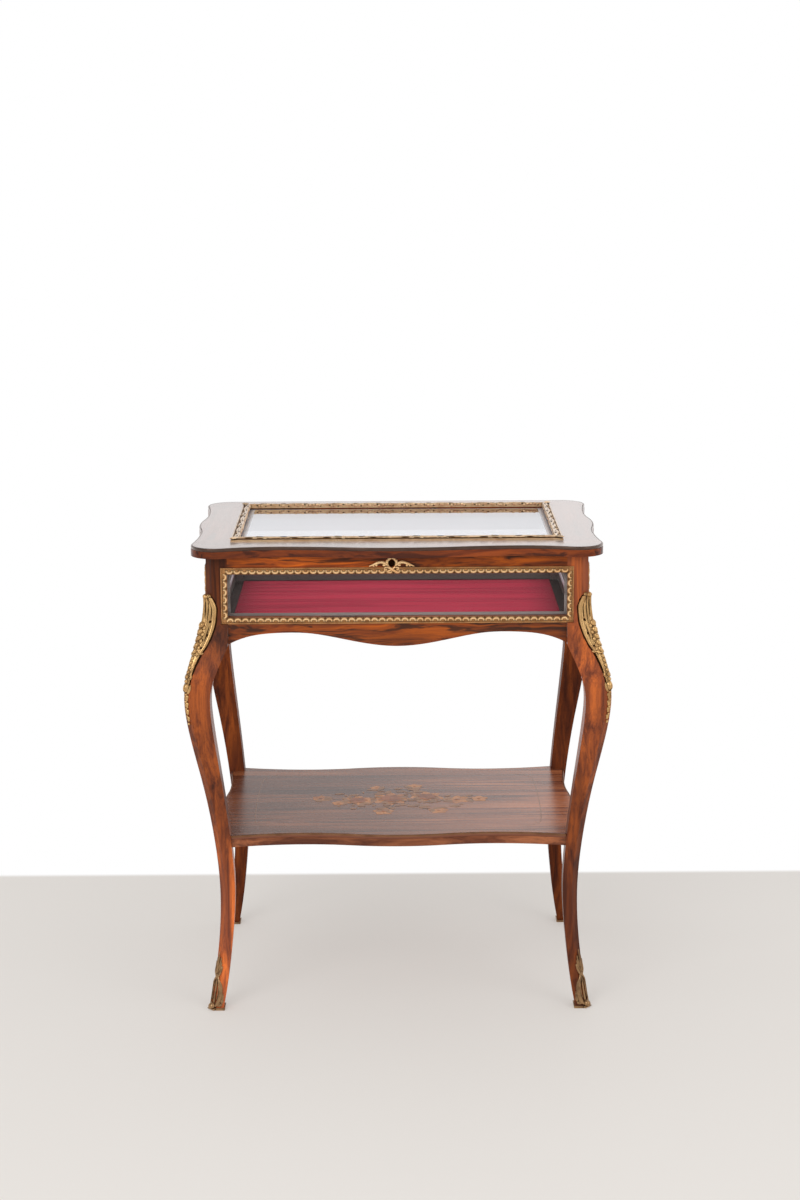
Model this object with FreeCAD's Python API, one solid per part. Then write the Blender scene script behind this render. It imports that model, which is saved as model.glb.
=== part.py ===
import FreeCAD, Part
import math
import os

# Display table: a glazed case on four cabriole legs, with a hinged glazed lid and a lower shelf.
# Millimetres. X runs to the right, Y to the rear, Z up, and the floor is Z = 0.

# Overall sizes
table_height = 750.0
case_width = 588.0
case_depth = 406.0
lid_thick = 16.0
lid_overhang_side = 23.0
lid_overhang_front = 20.0
lid_overhang_rear = 3.0
lid_gap = 0.4

# Case joinery
post_size = 33.0
rail_thick = 20.0
sight_height = 68.0
top_rail_height = 27.1
tenon_setback = 5.0
tenon_thick = 8.0
tenon_length = 16.0
tenon_shoulder = 3.0
mortise_spare = 0.5
rebate_width = 5.0
glass_setback = 11.0
glass_thick = 4.0
glass_bevel_width = 12.0
glass_bevel_drop = 1.4
glass_clear = 0.3
bead_width = 8.0
bead_bevel = 2.0
moulding_width = 10.0
moulding_edge = 2.0
moulding_proud = 5.0

# Lower edge of the aprons: share of the half span, and drop below the window
apron_edge = [(0.0, 46.3), (0.155, 43.0), (0.325, 34.5), (0.525, 25.3),
              (0.69, 24.4), (0.875, 29.8), (1.0, 42.5)]
apron_tenon_height = 28.0

# Floor of the case: a board let in between the aprons, on blocks in the corners
board_thick = 3.5
board_drop = 23.4
board_clear = 0.3
bed_thick = 3.0
bed_crown = 1.0
bed_margin = 1.0
bed_bulge = 0.8
bed_shoulder = 24.0
block_length = 18.0
block_height = 6.0

# Legs: share of the height up to the apron, and place of the face outward of the post's own face
leg_outer = [(1.107, 0.0), (1.06, 4.5), (0.997, 16.5), (0.901, 33.5), (0.794, 31.0), (0.633, 12.0),
             (0.466, -4.0), (0.327, -10.7), (0.19, -8.0), (0.077, 0.0), (0.0, 7.0)]
leg_inner = [(1.0, 0.0), (0.955, 12.5), (0.901, 24.5), (0.794, 25.5), (0.633, 14.0),
             (0.466, 3.0), (0.327, -1.6), (0.19, 3.5), (0.077, 11.5), (0.0, 19.5)]
leg_cant = 9.0

# Cast mounts on the legs
knee_mount_thick = 6.0
knee_mount_outline = [(1.136, 0.0), (1.118, 9.0), (1.06, 14.0), (0.99, 12.0), (0.935, 7.5),
                      (0.87, 5.5), (0.797, 0.0)]
knee_pin_shares = [1.09, 0.89]
sabot_wall = 2.2
sabot_sole = 3.0
sabot_front_height = 95.0
sabot_back_height = 26.0
sabot_pin_height = 48.0
toe_radius = 5.0
toe_length = 12.0
toe_reach = 1.0
mount_pin_radius = 0.9
mount_pin_length = 14.0

# Shelf
shelf_top = 284.0
shelf_thick = 18.5
shelf_side_setback = 7.0
shelf_front_setback = 10.0
shelf_veneer_thick = 1.0
shelf_band_width = 2.5
shelf_band_height = 6.0
shelf_dowel_radius = 4.0
shelf_dowel_length = 24.0

# Wavy outlines: depth of the waists, their places as a share of the half length, and the corner lobes
# The lid's rear edge is straight, so that it can turn on its hinges
lid_front_waist = 14.0
lid_front_waist_share = 0.585
lid_side_waist = 7.5
lid_side_waist_share = 0.385
lid_corner_radius = 39.0
shelf_front_waist = 13.0
shelf_front_waist_share = 0.52
shelf_side_waist = 5.0
shelf_side_waist_share = 0.415
shelf_corner_radius = 22.0

# Lid
lid_border_side = 59.0
lid_border_front = 60.0
lid_moulding_width = 14.5
lid_moulding_rise = 7.0
lid_moulding_edge = 2.8
lid_pane_overlap = 5.0
lid_pane_ledge = 6.0
lid_pane_drop = 3.0
lid_band_height = 5.0
lid_band_width = 2.5
stile_tenon_width = 40.0
stile_tenon_thick = 5.0
stile_tenon_length = 14.0

# Hinges
hinge_place = 110.0
hinge_length = 60.0
hinge_leaf_width = 16.0
hinge_leaf_thick = 1.55
hinge_axis_offset = 4.0
hinge_barrel_radius = 3.0
hinge_pin_radius = 1.5
hinge_running_clear = 0.05
hinge_knuckles = 5
hinge_knuckle_gap = 0.3
hinge_pocket_clear = 0.6
hinge_screw_spread = 36.0
hinge_screw_inset = 9.6

# Lock
keyhole_place = -8.4
keyhole_drop = 14.0
keyhole_radius = 2.0
keyhole_slot_width = 2.4
keyhole_slot_length = 7.0
lock_width = 50.0
lock_depth = 11.0
lock_height = 19.5
lock_wall = 1.5
lock_key_offset = 14.0
lock_plate_thick = 1.6
lock_plate_depth = 14.0
lock_plate_ear = 8.0
lock_key_pin_radius = 1.5
bolt_width = 14.0
bolt_thick = 6.0
bolt_foot = 9.0
bolt_foot_height = 5.0
bolt_clear = 0.3
bolt_travel = 5.0
strike_length = 44.0
strike_width = 12.0
strike_thick = 1.5

# Escutcheon
wing_length = 70.0
wing_height = 13.0
wing_thick = 3.0
wing_rise = 4.5
boss_radius = 8.0
boss_proud = 7.5
drop_length = 12.0
drop_width = 12.0
drop_thick = 2.2

# Screws
screw_head_radius = 2.6
screw_shank_radius = 1.3
screw_head_height = 1.5
screw_length = 11.0
lid_screw_length = 8.0

V = FreeCAD.Vector
origin = V(0, 0, 0)
up = V(0, 0, 1)
reach = 100.0
root_two = math.sqrt(2.0)

# Heights and half sizes that follow from the driving sizes
half_width = case_width / 2
half_depth = case_depth / 2
lid_half_width = half_width + lid_overhang_side
lid_front_reach = half_depth + lid_overhang_front
lid_rear_reach = half_depth + lid_overhang_rear
lid_frame_x = lid_half_width - lid_border_side
lid_frame_y = lid_front_reach - lid_border_front
lid_under = table_height - lid_thick
case_top = lid_under - lid_gap
sight_high = case_top - top_rail_height
sight_low = sight_high - sight_height
front_span = half_width - post_size
side_span = half_depth - post_size
leg_line = sight_low - apron_edge[-1][1]
board_low = sight_low - board_drop
board_high = board_low + board_thick
shelf_low = shelf_top - shelf_thick
glass_back = glass_setback + glass_thick
hinge_y = half_depth + hinge_axis_offset
hinge_z = (case_top + lid_under) / 2
keyhole_z = case_top - keyhole_drop
bolt_x = keyhole_place - lock_key_offset + lock_width / 2
bolt_y = -half_depth + rail_thick - lock_depth / 2

# Each side of the case: turn about Z, half span between the posts, distance of its outer face
sides = {
    "front": (0, front_span, half_depth),
    "right": (90, side_span, half_width),
    "rear": (180, front_span, half_depth),
    "left": (270, side_span, half_width),
}

# Each corner of the case: turn about Z, and the side of X and of Y that it is on
corners = {
    "rear_right": (0, 1, 1),
    "rear_left": (90, -1, 1),
    "front_left": (180, -1, -1),
    "front_right": (270, 1, -1),
}

nodes = {}


def block(x0, x1, y0, y1, z0, z1):
    return Part.makeBox(x1 - x0, y1 - y0, z1 - z0, V(x0, y0, z0))


def rod(radius, start, direction, length):
    return Part.makeCylinder(radius, length, start, direction)


def turned(shape, angle):
    copy = shape.copy()
    copy.rotate(origin, up, angle)
    return copy


def moved(shape, x, y, z):
    copy = shape.copy()
    copy.translate(V(x, y, z))
    return copy


def at_corner(shape, corner):
    angle, side_x, side_y = corners[corner]
    return moved(turned(shape, angle), side_x * half_width, side_y * half_depth, 0)


def largest(shape):
    return max(shape.Solids, key=lambda solid: solid.Volume)


def rectangle(half_x, half_y, z):
    points = [V(-half_x, -half_y, z), V(half_x, -half_y, z), V(half_x, half_y, z), V(-half_x, half_y, z)]
    return Part.makePolygon(points + points[:1])


def stack(levels):
    """Solid through rectangles given as half length, half width and height."""
    return Part.makeLoft([rectangle(*level) for level in levels], True, True)


def upright(shape, face, height):
    """Stands a flat shape on the front of the case: its Z becomes outward, its Y becomes up."""
    copy = shape.copy()
    copy.rotate(origin, V(1, 0, 0), 90)
    copy.translate(V(0, -face, height))
    return copy


def mitred_strip(half_x, half_y, section):
    """One mitred strip along the near long edge, from a section of inset and height."""
    left = [V(-half_x + inset, -half_y + inset, height) for inset, height in section]
    right = [V(half_x - inset, -half_y + inset, height) for inset, height in section]
    count = len(section)
    faces = [Part.Face(Part.makePolygon(end + end[:1])) for end in (left, right)]
    for i in range(count):
        j = (i + 1) % count
        faces.append(Part.Face(Part.makePolygon([left[i], left[j], right[j], right[i], left[i]])))
    strip = Part.Solid(Part.Shell(faces))
    strip.fix(1e-6, 1e-6, 1e-6)
    if strip.Volume < 0:
        strip.reverse()
    return strip


def mitred_frame(half_x, half_y, section):
    strips = []
    for turn in range(4):
        long_side = turn % 2 == 0
        size = (half_x, half_y) if long_side else (half_y, half_x)
        strips.append(turned(mitred_strip(*size, section), 90 * turn))
    return strips


def rounded_section(width, edge, rise):
    """Section of a moulding with a flat foot, low edges and a crown."""
    steps = 6
    section = [(0, 0), (width, 0)]
    for i in range(steps + 1):
        section.append((width * (1 - i / steps), edge + (rise - edge) * math.sin(math.pi * i / steps)))
    return section


def arc(start, middle, end):
    return Part.Arc(start, middle, end).toShape()


def s_bend(length, depth):
    """Turn of the two equal and opposite arcs that step over by depth along a length."""
    return 2 * math.atan2(depth, length)


def wavy_quarter(half_x, half_y, waist, waist_share, side_waist, side_waist_share, corner):
    """Edges from the middle of the front round to the middle of the right side, tangent to each other.

    Without a waist the front is straight.
    """
    waist_at = waist_share * half_x
    side_waist_at = side_waist_share * half_y

    def front(x, inward):
        return V(x, -half_y + inward, 0)

    def side(y, inward):
        return V(half_x - inward, -y, 0)

    def bulge_and_waist(place, depth, at):
        turn = s_bend(at, depth)
        radius = at / 2 / math.sin(turn)
        along = radius * math.sin(turn / 2)
        rise = radius * (1 - math.cos(turn / 2))
        half = place(at / 2, depth / 2)
        crown = arc(place(0, 0), place(along, rise), half)
        waist_arc = arc(half, place(at - along, depth - rise), place(at, depth))
        return [crown, waist_arc]

    def waist_to_lobe(place, depth, at, lobe_at):
        turn = s_bend(lobe_at - at, depth)
        radius = (lobe_at - at) / math.sin(turn) - corner
        middle = place(at + radius * math.sin(turn / 2), depth - radius * (1 - math.cos(turn / 2)))
        end = place(at + radius * math.sin(turn), depth - radius * (1 - math.cos(turn)))
        return arc(place(at, depth), middle, end), end, turn

    front_end = front(half_x - corner, 0)
    front_turn = 0
    front_edges = [Part.makeLine(front(0, 0), front_end)]
    if waist > 0:
        front_arc, front_end, front_turn = waist_to_lobe(front, waist, waist_at, half_x - corner)
        front_edges = bulge_and_waist(front, waist, waist_at) + [front_arc]
    side_arc, side_end, side_turn = waist_to_lobe(side, side_waist, side_waist_at, half_y - corner)
    bisector = -math.pi / 4 + (side_turn - front_turn) / 2
    lobe_centre = V(half_x - corner, corner - half_y, 0)
    lobe_middle = lobe_centre + V(math.cos(bisector), math.sin(bisector), 0) * corner
    lobe = arc(front_end, lobe_middle, side_end)
    return front_edges + [lobe, side_arc] + bulge_and_waist(side, side_waist, side_waist_at)


def wavy_face(near, far):
    """Face from its front right quarter and its rear right one, both drawn at the front."""
    right = near + Part.Compound(far).mirror(origin, V(0, 1, 0)).Edges
    left = Part.Compound(right).mirror(origin, V(1, 0, 0)).Edges
    return Part.Face(Part.Wire(Part.__sortEdges__(right + left)))


def slab(face, low, high):
    return moved(face, 0, 0, low).extrude(V(0, 0, high - low))


def screw(place, direction, length):
    """Countersunk screw whose flat head lies at place and whose point lies along direction."""
    head = Part.makeCone(screw_head_radius, screw_shank_radius, screw_head_height, place, direction)
    shank = rod(screw_shank_radius, place, direction, length)
    return head.fuse(shank).removeSplitter()


def station_points(stations, shift):
    return [V(outward + shift, 0, share * leg_line) for share, outward in stations]


def spline(points):
    curve = Part.BSplineCurve()
    curve.interpolate(points)
    return curve


def outward_at(stations, shift, height):
    """Place of a leg's face at a height, read from its curve."""
    curve = spline(station_points(stations, shift))
    level = Part.Plane(V(0, 0, height), up)
    return curve.intersect(level)[0][0].X


def leg_slab(outer_shift, inner_shift):
    """The leg's side outline as a thick plate, sawn from one direction."""
    outer = station_points(leg_outer, outer_shift)
    inner = station_points(leg_inner, inner_shift - post_size)
    top_outer = V(outer_shift, 0, case_top)
    top_inner = V(inner_shift - post_size, 0, case_top)
    edges = [
        Part.makeLine(top_outer, outer[0]),
        spline(outer).toShape(),
        Part.makeLine(outer[-1], inner[-1]),
        spline(inner).toShape(),
        Part.makeLine(inner[0], top_inner),
        Part.makeLine(top_inner, top_outer),
    ]
    face = Part.Face(Part.Wire(Part.__sortEdges__(edges)))
    return moved(face, 0, -reach, 0).extrude(V(0, 2 * reach, 0))


def leg_form(grow):
    """Leg sawn from two directions with its outer arris canted; grow thickens it all round."""
    plate = leg_slab(grow, -grow)
    square = plate.common(plate.mirror(origin, V(1, -1, 0)))
    cant = leg_cant + grow * (2 - root_two)
    diagonal = FreeCAD.Matrix(1, -1, 0, -cant / 2, 1, 1, 0, -cant / 2, 0, 0, 1, 0, 0, 0, 0, 1)
    canted = leg_slab(grow, -reach).transformGeometry(diagonal)
    return largest(square.common(canted))


def knee_leaf():
    """Outline of the knee mount as a prism along the leg's diagonal."""

    def edge(side):
        points = [V(-side * across / root_two - post_size / 2, side * across / root_two - post_size / 2,
                    share * leg_line) for share, across in knee_mount_outline]
        return spline(points).toShape()

    outline = Part.Wire(Part.__sortEdges__([edge(1), edge(-1)]))
    return Part.Face(outline).extrude(V(reach, reach, 0))


def sabot_wedge():
    """Space under the sabot's top edge, which rises from the leg's inner corner to its outer arris."""
    low = leg_inner[-1][1] - post_size - sabot_wall
    high = outward_at(leg_outer, 0, sabot_front_height)
    rate = (sabot_front_height - sabot_back_height) / (high - low)
    slope = [V(-reach, -reach, -1), V(reach, reach, -1)]
    slope.append(V(reach, reach, sabot_back_height + rate * (reach - low)))
    slope.append(V(low, low, sabot_back_height))
    slope.append(V(-reach, -reach, sabot_back_height))
    wedge = moved(Part.Face(Part.makePolygon(slope + slope[:1])), reach, -reach, 0)
    return wedge.extrude(V(-2 * reach, 2 * reach, 0))


def make_leg_parts():
    """Leg, sabot, knee mount and their pins at the corner where both outward axes are positive."""
    leg = leg_form(0).cut(block(-reach, reach, -reach, reach, -1, sabot_sole))

    knee = largest(leg_form(knee_mount_thick).common(knee_leaf()).cut(leg))
    shoe = leg_form(sabot_wall).common(sabot_wedge())
    toe_place = leg_outer[-1][1] - leg_cant / 2 + (sabot_wall + toe_reach) / root_two
    toe_shift = toe_length / 2 / root_two
    toe_end = V(toe_place + toe_shift, toe_place - toe_shift, toe_radius)
    toe = rod(toe_radius, toe_end, V(-1, 1, 0), toe_length)
    sabot = largest(shoe.fuse(toe).cut(leg))

    inward = V(-1, -1, 0)
    pins = []
    seats = [(share * leg_line, knee_mount_thick) for share in knee_pin_shares]
    seats.append((sabot_pin_height, sabot_wall))
    for height, thick in seats:
        place = outward_at(leg_outer, 0, height) - leg_cant / 2 + thick / root_two
        pins.append(rod(mount_pin_radius, V(place, place, height), inward, mount_pin_length))

    dowel_height = shelf_low + (shelf_thick - shelf_veneer_thick) / 2
    corner = outward_at(leg_inner, -post_size, dowel_height) + shelf_dowel_length / 2 / root_two
    dowel = rod(shelf_dowel_radius, V(corner, corner, dowel_height), inward, shelf_dowel_length)

    for pin in pins:
        leg = leg.cut(pin)
        knee = knee.cut(pin)
        sabot = sabot.cut(pin)
    leg = leg.cut(dowel)
    return largest(leg), largest(knee), largest(sabot), pins, dowel


def tenons(span, face, low, high, extra):
    """The two tenons at the ends of a rail; extra lengthens them into mortises."""
    near = -face + tenon_setback
    end = span + tenon_length + extra
    right = block(span, end, near, near + tenon_thick, low, high)
    left = block(-end, -span, near, near + tenon_thick, low, high)
    return [right, left]


def top_rail_tenons(span, face, extra):
    low = sight_high + rebate_width + tenon_shoulder
    return tenons(span, face, low, case_top - tenon_shoulder, extra)


def apron_tenons(span, face, extra):
    low = leg_line + tenon_shoulder
    return tenons(span, face, low, low + apron_tenon_height, extra)


def window_rebate(span, face):
    """Space behind the window opening for the pane and its beads."""
    side = span + rebate_width
    return block(-side, side, -face + glass_setback, -face + post_size,
                 sight_low - rebate_width, sight_high + rebate_width)


def moulding_seat(span, face):
    """Flat seat for the window moulding, cut into the swelling face of the legs."""
    side = span + moulding_width
    return block(-side, side, -face - reach, -face, sight_low - moulding_width, sight_high + moulding_width)


def apron_board(span, face):
    right = [V(share * span, -face, sight_low - drop) for share, drop in apron_edge]
    left = [V(-point.x, point.y, point.z) for point in right[:0:-1]]
    lower = spline(left + right).toShape()
    top_left = V(-span, -face, sight_low)
    top_right = V(span, -face, sight_low)
    edges = [lower, Part.makeLine(right[-1], top_right), Part.makeLine(top_right, top_left),
             Part.makeLine(top_left, left[0])]
    return Part.Face(Part.Wire(edges)).extrude(V(0, rail_thick, 0))


def make_case_sides():
    """Rails, aprons, panes, beads, mouldings and corner blocks of the four sides."""
    blocks = []
    for name, (angle, span, face) in sides.items():
        rebate = window_rebate(span, face)
        rail = block(-span, span, -face, -face + rail_thick, sight_high, case_top)
        for tenon in top_rail_tenons(span, face, 0):
            rail = rail.fuse(tenon)
        nodes["top_rail_" + name] = turned(rail.cut(rebate).removeSplitter(), angle)

        apron = apron_board(span, face)
        for tenon in apron_tenons(span, face, 0):
            apron = apron.fuse(tenon)
        nodes["apron_" + name] = turned(apron.cut(rebate).removeSplitter(), angle)

        middle = (sight_low + sight_high) / 2
        pane_x = span + rebate_width - glass_clear
        pane_z = sight_height / 2 + rebate_width - glass_clear
        full = glass_thick - glass_bevel_drop
        pane = stack([(pane_x, pane_z, 0), (pane_x, pane_z, full),
                      (pane_x - glass_bevel_width, pane_z - glass_bevel_width, glass_thick)])
        nodes["pane_" + name] = turned(upright(pane, face - glass_back, middle), angle)

        bead_depth = rail_thick - glass_back
        bead = [(0, 0), (bead_width, 0), (bead_width, bead_bevel - bead_depth),
                (bead_width - bead_bevel, -bead_depth), (0, -bead_depth)]
        beads = mitred_frame(pane_x, pane_z, bead)
        beads = upright(Part.Compound(beads), face - glass_back, middle)
        nodes["glazing_beads_" + name] = turned(beads, angle)

        section = rounded_section(moulding_width, moulding_edge, moulding_proud)
        strips = mitred_frame(span + moulding_width, sight_height / 2 + moulding_width, section)
        nodes["window_moulding_" + name] = turned(upright(Part.Compound(strips), face, middle), angle)

        inner = -face + rail_thick
        for start in (span - block_length, -span):
            corner_block = block(start, start + block_length, inner, -face + post_size,
                                 board_low - block_height, board_low)
            blocks.append(turned(corner_block, angle))
    nodes["corner_blocks"] = Part.Compound(blocks)


def make_floor():
    edge_x = half_width - rail_thick - board_clear
    edge_y = half_depth - rail_thick - board_clear
    board = block(-edge_x, edge_x, -edge_y, edge_y, board_low, board_high)
    for side_x in (-1, 1):
        for side_y in (-1, 1):
            notch = block(front_span - board_clear, reach * 4, side_span - board_clear, reach * 4,
                          board_low, board_high)
            notch = notch.mirror(origin, V(1, 0, 0)) if side_x < 0 else notch
            notch = notch.mirror(origin, V(0, 1, 0)) if side_y < 0 else notch
            board = board.cut(notch)
    nodes["base_board"] = board
    edge_x = front_span - bed_margin
    edge_y = side_span - bed_margin
    shoulder = bed_thick - bed_crown
    nodes["velvet_bed"] = stack([
        (edge_x - bed_bulge, edge_y - bed_bulge, board_high),
        (edge_x, edge_y, board_high + shoulder / 2),
        (edge_x - bed_bulge, edge_y - bed_bulge, board_high + shoulder),
        (edge_x - bed_shoulder, edge_y - bed_shoulder, board_high + bed_thick),
    ])


def make_legs():
    leg, knee, sabot, pins, dowel = make_leg_parts()
    all_pins = []
    dowels = []
    for corner in corners:
        placed = at_corner(leg, corner)
        for angle, span, face in sides.values():
            cutters = top_rail_tenons(span, face, mortise_spare) + apron_tenons(span, face, mortise_spare)
            for cutter in cutters + [window_rebate(span, face), moulding_seat(span, face)]:
                cutter = turned(cutter, angle)
                if cutter.BoundBox.intersect(placed.BoundBox):
                    placed = placed.cut(cutter)
        nodes["leg_" + corner] = largest(placed)
        nodes["knee_mount_" + corner] = at_corner(knee, corner)
        nodes["sabot_" + corner] = at_corner(sabot, corner)
        all_pins += [at_corner(pin, corner) for pin in pins]
        dowels.append(at_corner(dowel, corner))
    nodes["mount_pins"] = Part.Compound(all_pins)
    nodes["shelf_dowels"] = Part.Compound(dowels)


def make_shelf():
    quarter = wavy_quarter(half_width - shelf_side_setback, half_depth - shelf_front_setback,
                           shelf_front_waist, shelf_front_waist_share,
                           shelf_side_waist, shelf_side_waist_share, shelf_corner_radius)
    outline = wavy_face(quarter, quarter)
    inner = outline.makeOffset2D(-shelf_band_width)
    veneer_low = shelf_top - shelf_veneer_thick
    band_low = shelf_top - shelf_band_height
    ring = slab(outline, band_low, shelf_top).cut(slab(inner, band_low, shelf_top))
    panel = slab(outline, shelf_low, veneer_low).cut(ring)
    veneer = slab(inner, veneer_low, shelf_top)
    for corner in corners:
        leg = nodes["leg_" + corner]
        ring = ring.cut(leg)
        panel = panel.cut(leg)
        veneer = veneer.cut(leg)
    nodes["shelf_panel"] = largest(panel.cut(nodes["shelf_dowels"]))
    nodes["shelf_veneer"] = largest(veneer)
    lengths = sorted(ring.Solids, key=lambda solid: solid.Volume)[-len(sides):]
    nodes["shelf_edge_band"] = Part.Compound(lengths)


def keyhole(y0, y1):
    """Round hole with a slot below it, running from front to rear."""
    hole = rod(keyhole_radius, V(keyhole_place, y0, keyhole_z), V(0, 1, 0), y1 - y0)
    half = keyhole_slot_width / 2
    slot_low = keyhole_z - keyhole_slot_length
    slot = block(keyhole_place - half, keyhole_place + half, y0, y1, slot_low, keyhole_z)
    return hole.fuse(slot)


def make_lock():
    """Lock let into the front rail from behind, its bolt, the escutcheon and the strike in the lid."""
    left = keyhole_place - lock_key_offset
    right = left + lock_width
    rear = -half_depth + rail_thick
    front = rear - lock_depth
    low = case_top - lock_plate_thick - lock_height
    plate_low = case_top - lock_plate_thick
    case = block(left, right, front, rear, low, plate_low)
    plate = block(left - lock_plate_ear, right + lock_plate_ear, rear - lock_plate_depth, rear,
                  plate_low, case_top)
    case = case.fuse(plate).removeSplitter()
    nodes["top_rail_front"] = nodes["top_rail_front"].cut(case).cut(keyhole(-half_depth, front))

    cavity = block(left + lock_wall, right - lock_wall, front + lock_wall, rear - lock_wall,
                   low + lock_wall, plate_low)
    half = bolt_width / 2
    slot_x = half + bolt_clear
    slot_y = bolt_thick / 2 + bolt_clear
    slot = block(bolt_x - slot_x, bolt_x + slot_x, bolt_y - slot_y, bolt_y + slot_y, plate_low, case_top)
    key_pin_end = V(keyhole_place, front + lock_wall, keyhole_z)
    key_pin = rod(lock_key_pin_radius, key_pin_end, V(0, 1, 0), lock_depth - lock_wall)
    case = case.cut(cavity).cut(slot).cut(keyhole(front, front + lock_wall)).fuse(key_pin)

    foot_low = low + lock_wall + bolt_clear
    thick = bolt_thick / 2
    foot = block(bolt_x - half, bolt_x + half + bolt_foot, bolt_y - thick, bolt_y + thick,
                 foot_low, foot_low + bolt_foot_height)
    tongue = block(bolt_x - half, bolt_x + half, bolt_y - thick, bolt_y + thick,
                   foot_low, case_top - bolt_clear)
    nodes["lock_bolt"] = foot.fuse(tongue).removeSplitter()

    strike = block(bolt_x - strike_length / 2, bolt_x + strike_length / 2, bolt_y - strike_width / 2,
                   bolt_y + strike_width / 2, lid_under, lid_under + strike_thick)
    pocket_high = lid_under + bolt_travel + strike_thick
    pocket = block(bolt_x - slot_x, bolt_x + slot_x, bolt_y - slot_y, bolt_y + slot_y, lid_under, pocket_high)
    nodes["lid_front_rail"] = nodes["lid_front_rail"].cut(strike).cut(pocket)
    strike = strike.cut(pocket)

    down = V(0, 0, -1)
    ear = lock_plate_ear / 2
    plate_screws = [screw(V(x, rear - lock_plate_depth / 2, case_top), down, screw_length)
                    for x in (left - ear, right + ear)]
    strike_ear = (strike_length + bolt_width) / 4
    strike_screws = [screw(V(x, bolt_y, lid_under), up, lid_screw_length)
                     for x in (bolt_x - strike_ear, bolt_x + strike_ear)]
    for one in plate_screws:
        case = case.cut(one)
        nodes["top_rail_front"] = nodes["top_rail_front"].cut(one)
    for one in strike_screws:
        strike = strike.cut(one)
        nodes["lid_front_rail"] = nodes["lid_front_rail"].cut(one)
    nodes["lock_body"] = largest(case)
    nodes["strike_plate"] = strike
    return plate_screws, strike_screws


def make_escutcheon():
    centre_z = keyhole_z + wing_rise
    tip = wing_length / 2
    swell = wing_height / 2
    ends = [V(keyhole_place - tip, -half_depth, centre_z), V(keyhole_place + tip, -half_depth, centre_z)]
    upper = arc(ends[0], V(keyhole_place, -half_depth, centre_z + swell), ends[1])
    lower = arc(ends[1], V(keyhole_place, -half_depth, centre_z - swell), ends[0])
    outward = V(0, -1, 0)
    wings = Part.Face(Part.Wire([upper, lower])).extrude(outward * wing_thick)
    boss = rod(boss_radius, V(keyhole_place, -half_depth, keyhole_z), outward, boss_proud)
    drop_half = drop_width / 2
    drop_face = half_depth + boss_proud
    drop = block(keyhole_place - drop_half, keyhole_place + drop_half, -drop_face, -drop_face + drop_thick,
                 keyhole_z - drop_length, keyhole_z)
    plate = wings.fuse(boss).fuse(drop).cut(keyhole(-drop_face, -half_depth))
    nodes["escutcheon"] = largest(plate.cut(nodes["window_moulding_front"]))


def make_lid_frame():
    """Four wooden members, the metal edge band, the pane and its moulding."""
    half_y = (lid_front_reach + lid_rear_reach) / 2
    side_wave = (lid_side_waist, lid_side_waist_share, lid_corner_radius)
    near = wavy_quarter(lid_half_width, half_y, lid_front_waist, lid_front_waist_share, *side_wave)
    far_side = wavy_quarter(lid_half_width, half_y, 0, 0, *side_wave)
    outline = moved(wavy_face(near, far_side), 0, lid_rear_reach - half_y, 0)
    band_low = table_height - lid_band_height
    inner = outline.makeOffset2D(-lid_band_width)
    band = slab(outline, band_low, table_height).cut(slab(inner, band_low, table_height))
    nodes["lid_edge_band"] = band

    rebate_x = lid_frame_x - lid_moulding_width + lid_pane_overlap
    rebate_y = lid_frame_y - lid_moulding_width + lid_pane_overlap
    open_x = rebate_x - lid_pane_ledge
    open_y = rebate_y - lid_pane_ledge
    ledge = table_height - lid_pane_drop - glass_thick
    blank = slab(outline, lid_under, table_height).cut(band)
    blank = blank.cut(block(-open_x, open_x, -open_y, open_y, lid_under, table_height))
    blank = blank.cut(block(-rebate_x, rebate_x, -rebate_y, rebate_y, ledge, table_height))

    far = reach * 10
    tenon_low = (lid_under + ledge - stile_tenon_thick) / 2
    tenon_high = tenon_low + stile_tenon_thick
    tenon_x = (open_x + lid_half_width - lid_side_waist - stile_tenon_width) / 2
    mortises = []
    for name, side in (("left", -1), ("right", 1)):
        stile = blank.common(block(-far, far, -open_y, open_y, lid_under, table_height))
        stile = stile.common(block(0, far, -far, far, lid_under, table_height))
        for end in (-open_y - stile_tenon_length, open_y):
            tenon = block(tenon_x, tenon_x + stile_tenon_width, end, end + stile_tenon_length,
                          tenon_low, tenon_high)
            stile = stile.fuse(tenon)
        stile = stile if side > 0 else stile.mirror(origin, V(1, 0, 0))
        nodes["lid_stile_" + name] = largest(stile.removeSplitter())
        end_y = open_y + stile_tenon_length + mortise_spare
        mortise = block(tenon_x, tenon_x + stile_tenon_width, -end_y, end_y, tenon_low, tenon_high)
        mortises.append(mortise if side > 0 else mortise.mirror(origin, V(1, 0, 0)))
    for name, near, far_y in (("front", -far, -open_y), ("rear", open_y, far)):
        rail = blank.common(block(-far, far, near, far_y, lid_under, table_height))
        for mortise in mortises:
            rail = rail.cut(mortise)
        nodes["lid_%s_rail" % name] = largest(rail)

    pane_x = rebate_x - glass_clear
    pane_y = rebate_y - glass_clear
    full = ledge + glass_thick - glass_bevel_drop
    top = ledge + glass_thick
    nodes["lid_pane"] = stack([(pane_x, pane_y, ledge), (pane_x, pane_y, full),
                               (pane_x - glass_bevel_width, pane_y - glass_bevel_width, top)])

    wide = lid_moulding_width
    glass_edge = wide - lid_pane_overlap + glass_clear
    lip = glass_edge + glass_clear
    slope = glass_bevel_drop / glass_bevel_width

    def lip_foot(inset):
        return glass_clear - lid_pane_drop - glass_bevel_drop + slope * (inset - glass_edge)

    crown = rounded_section(wide, lid_moulding_edge, lid_moulding_rise)[2:]
    section = [(0, 0), (lip, 0), (lip, lip_foot(lip)), (wide, lip_foot(wide))] + crown
    strips = mitred_frame(lid_frame_x, lid_frame_y, section)
    nodes["lid_moulding"] = moved(Part.Compound(strips), 0, 0, table_height)


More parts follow.
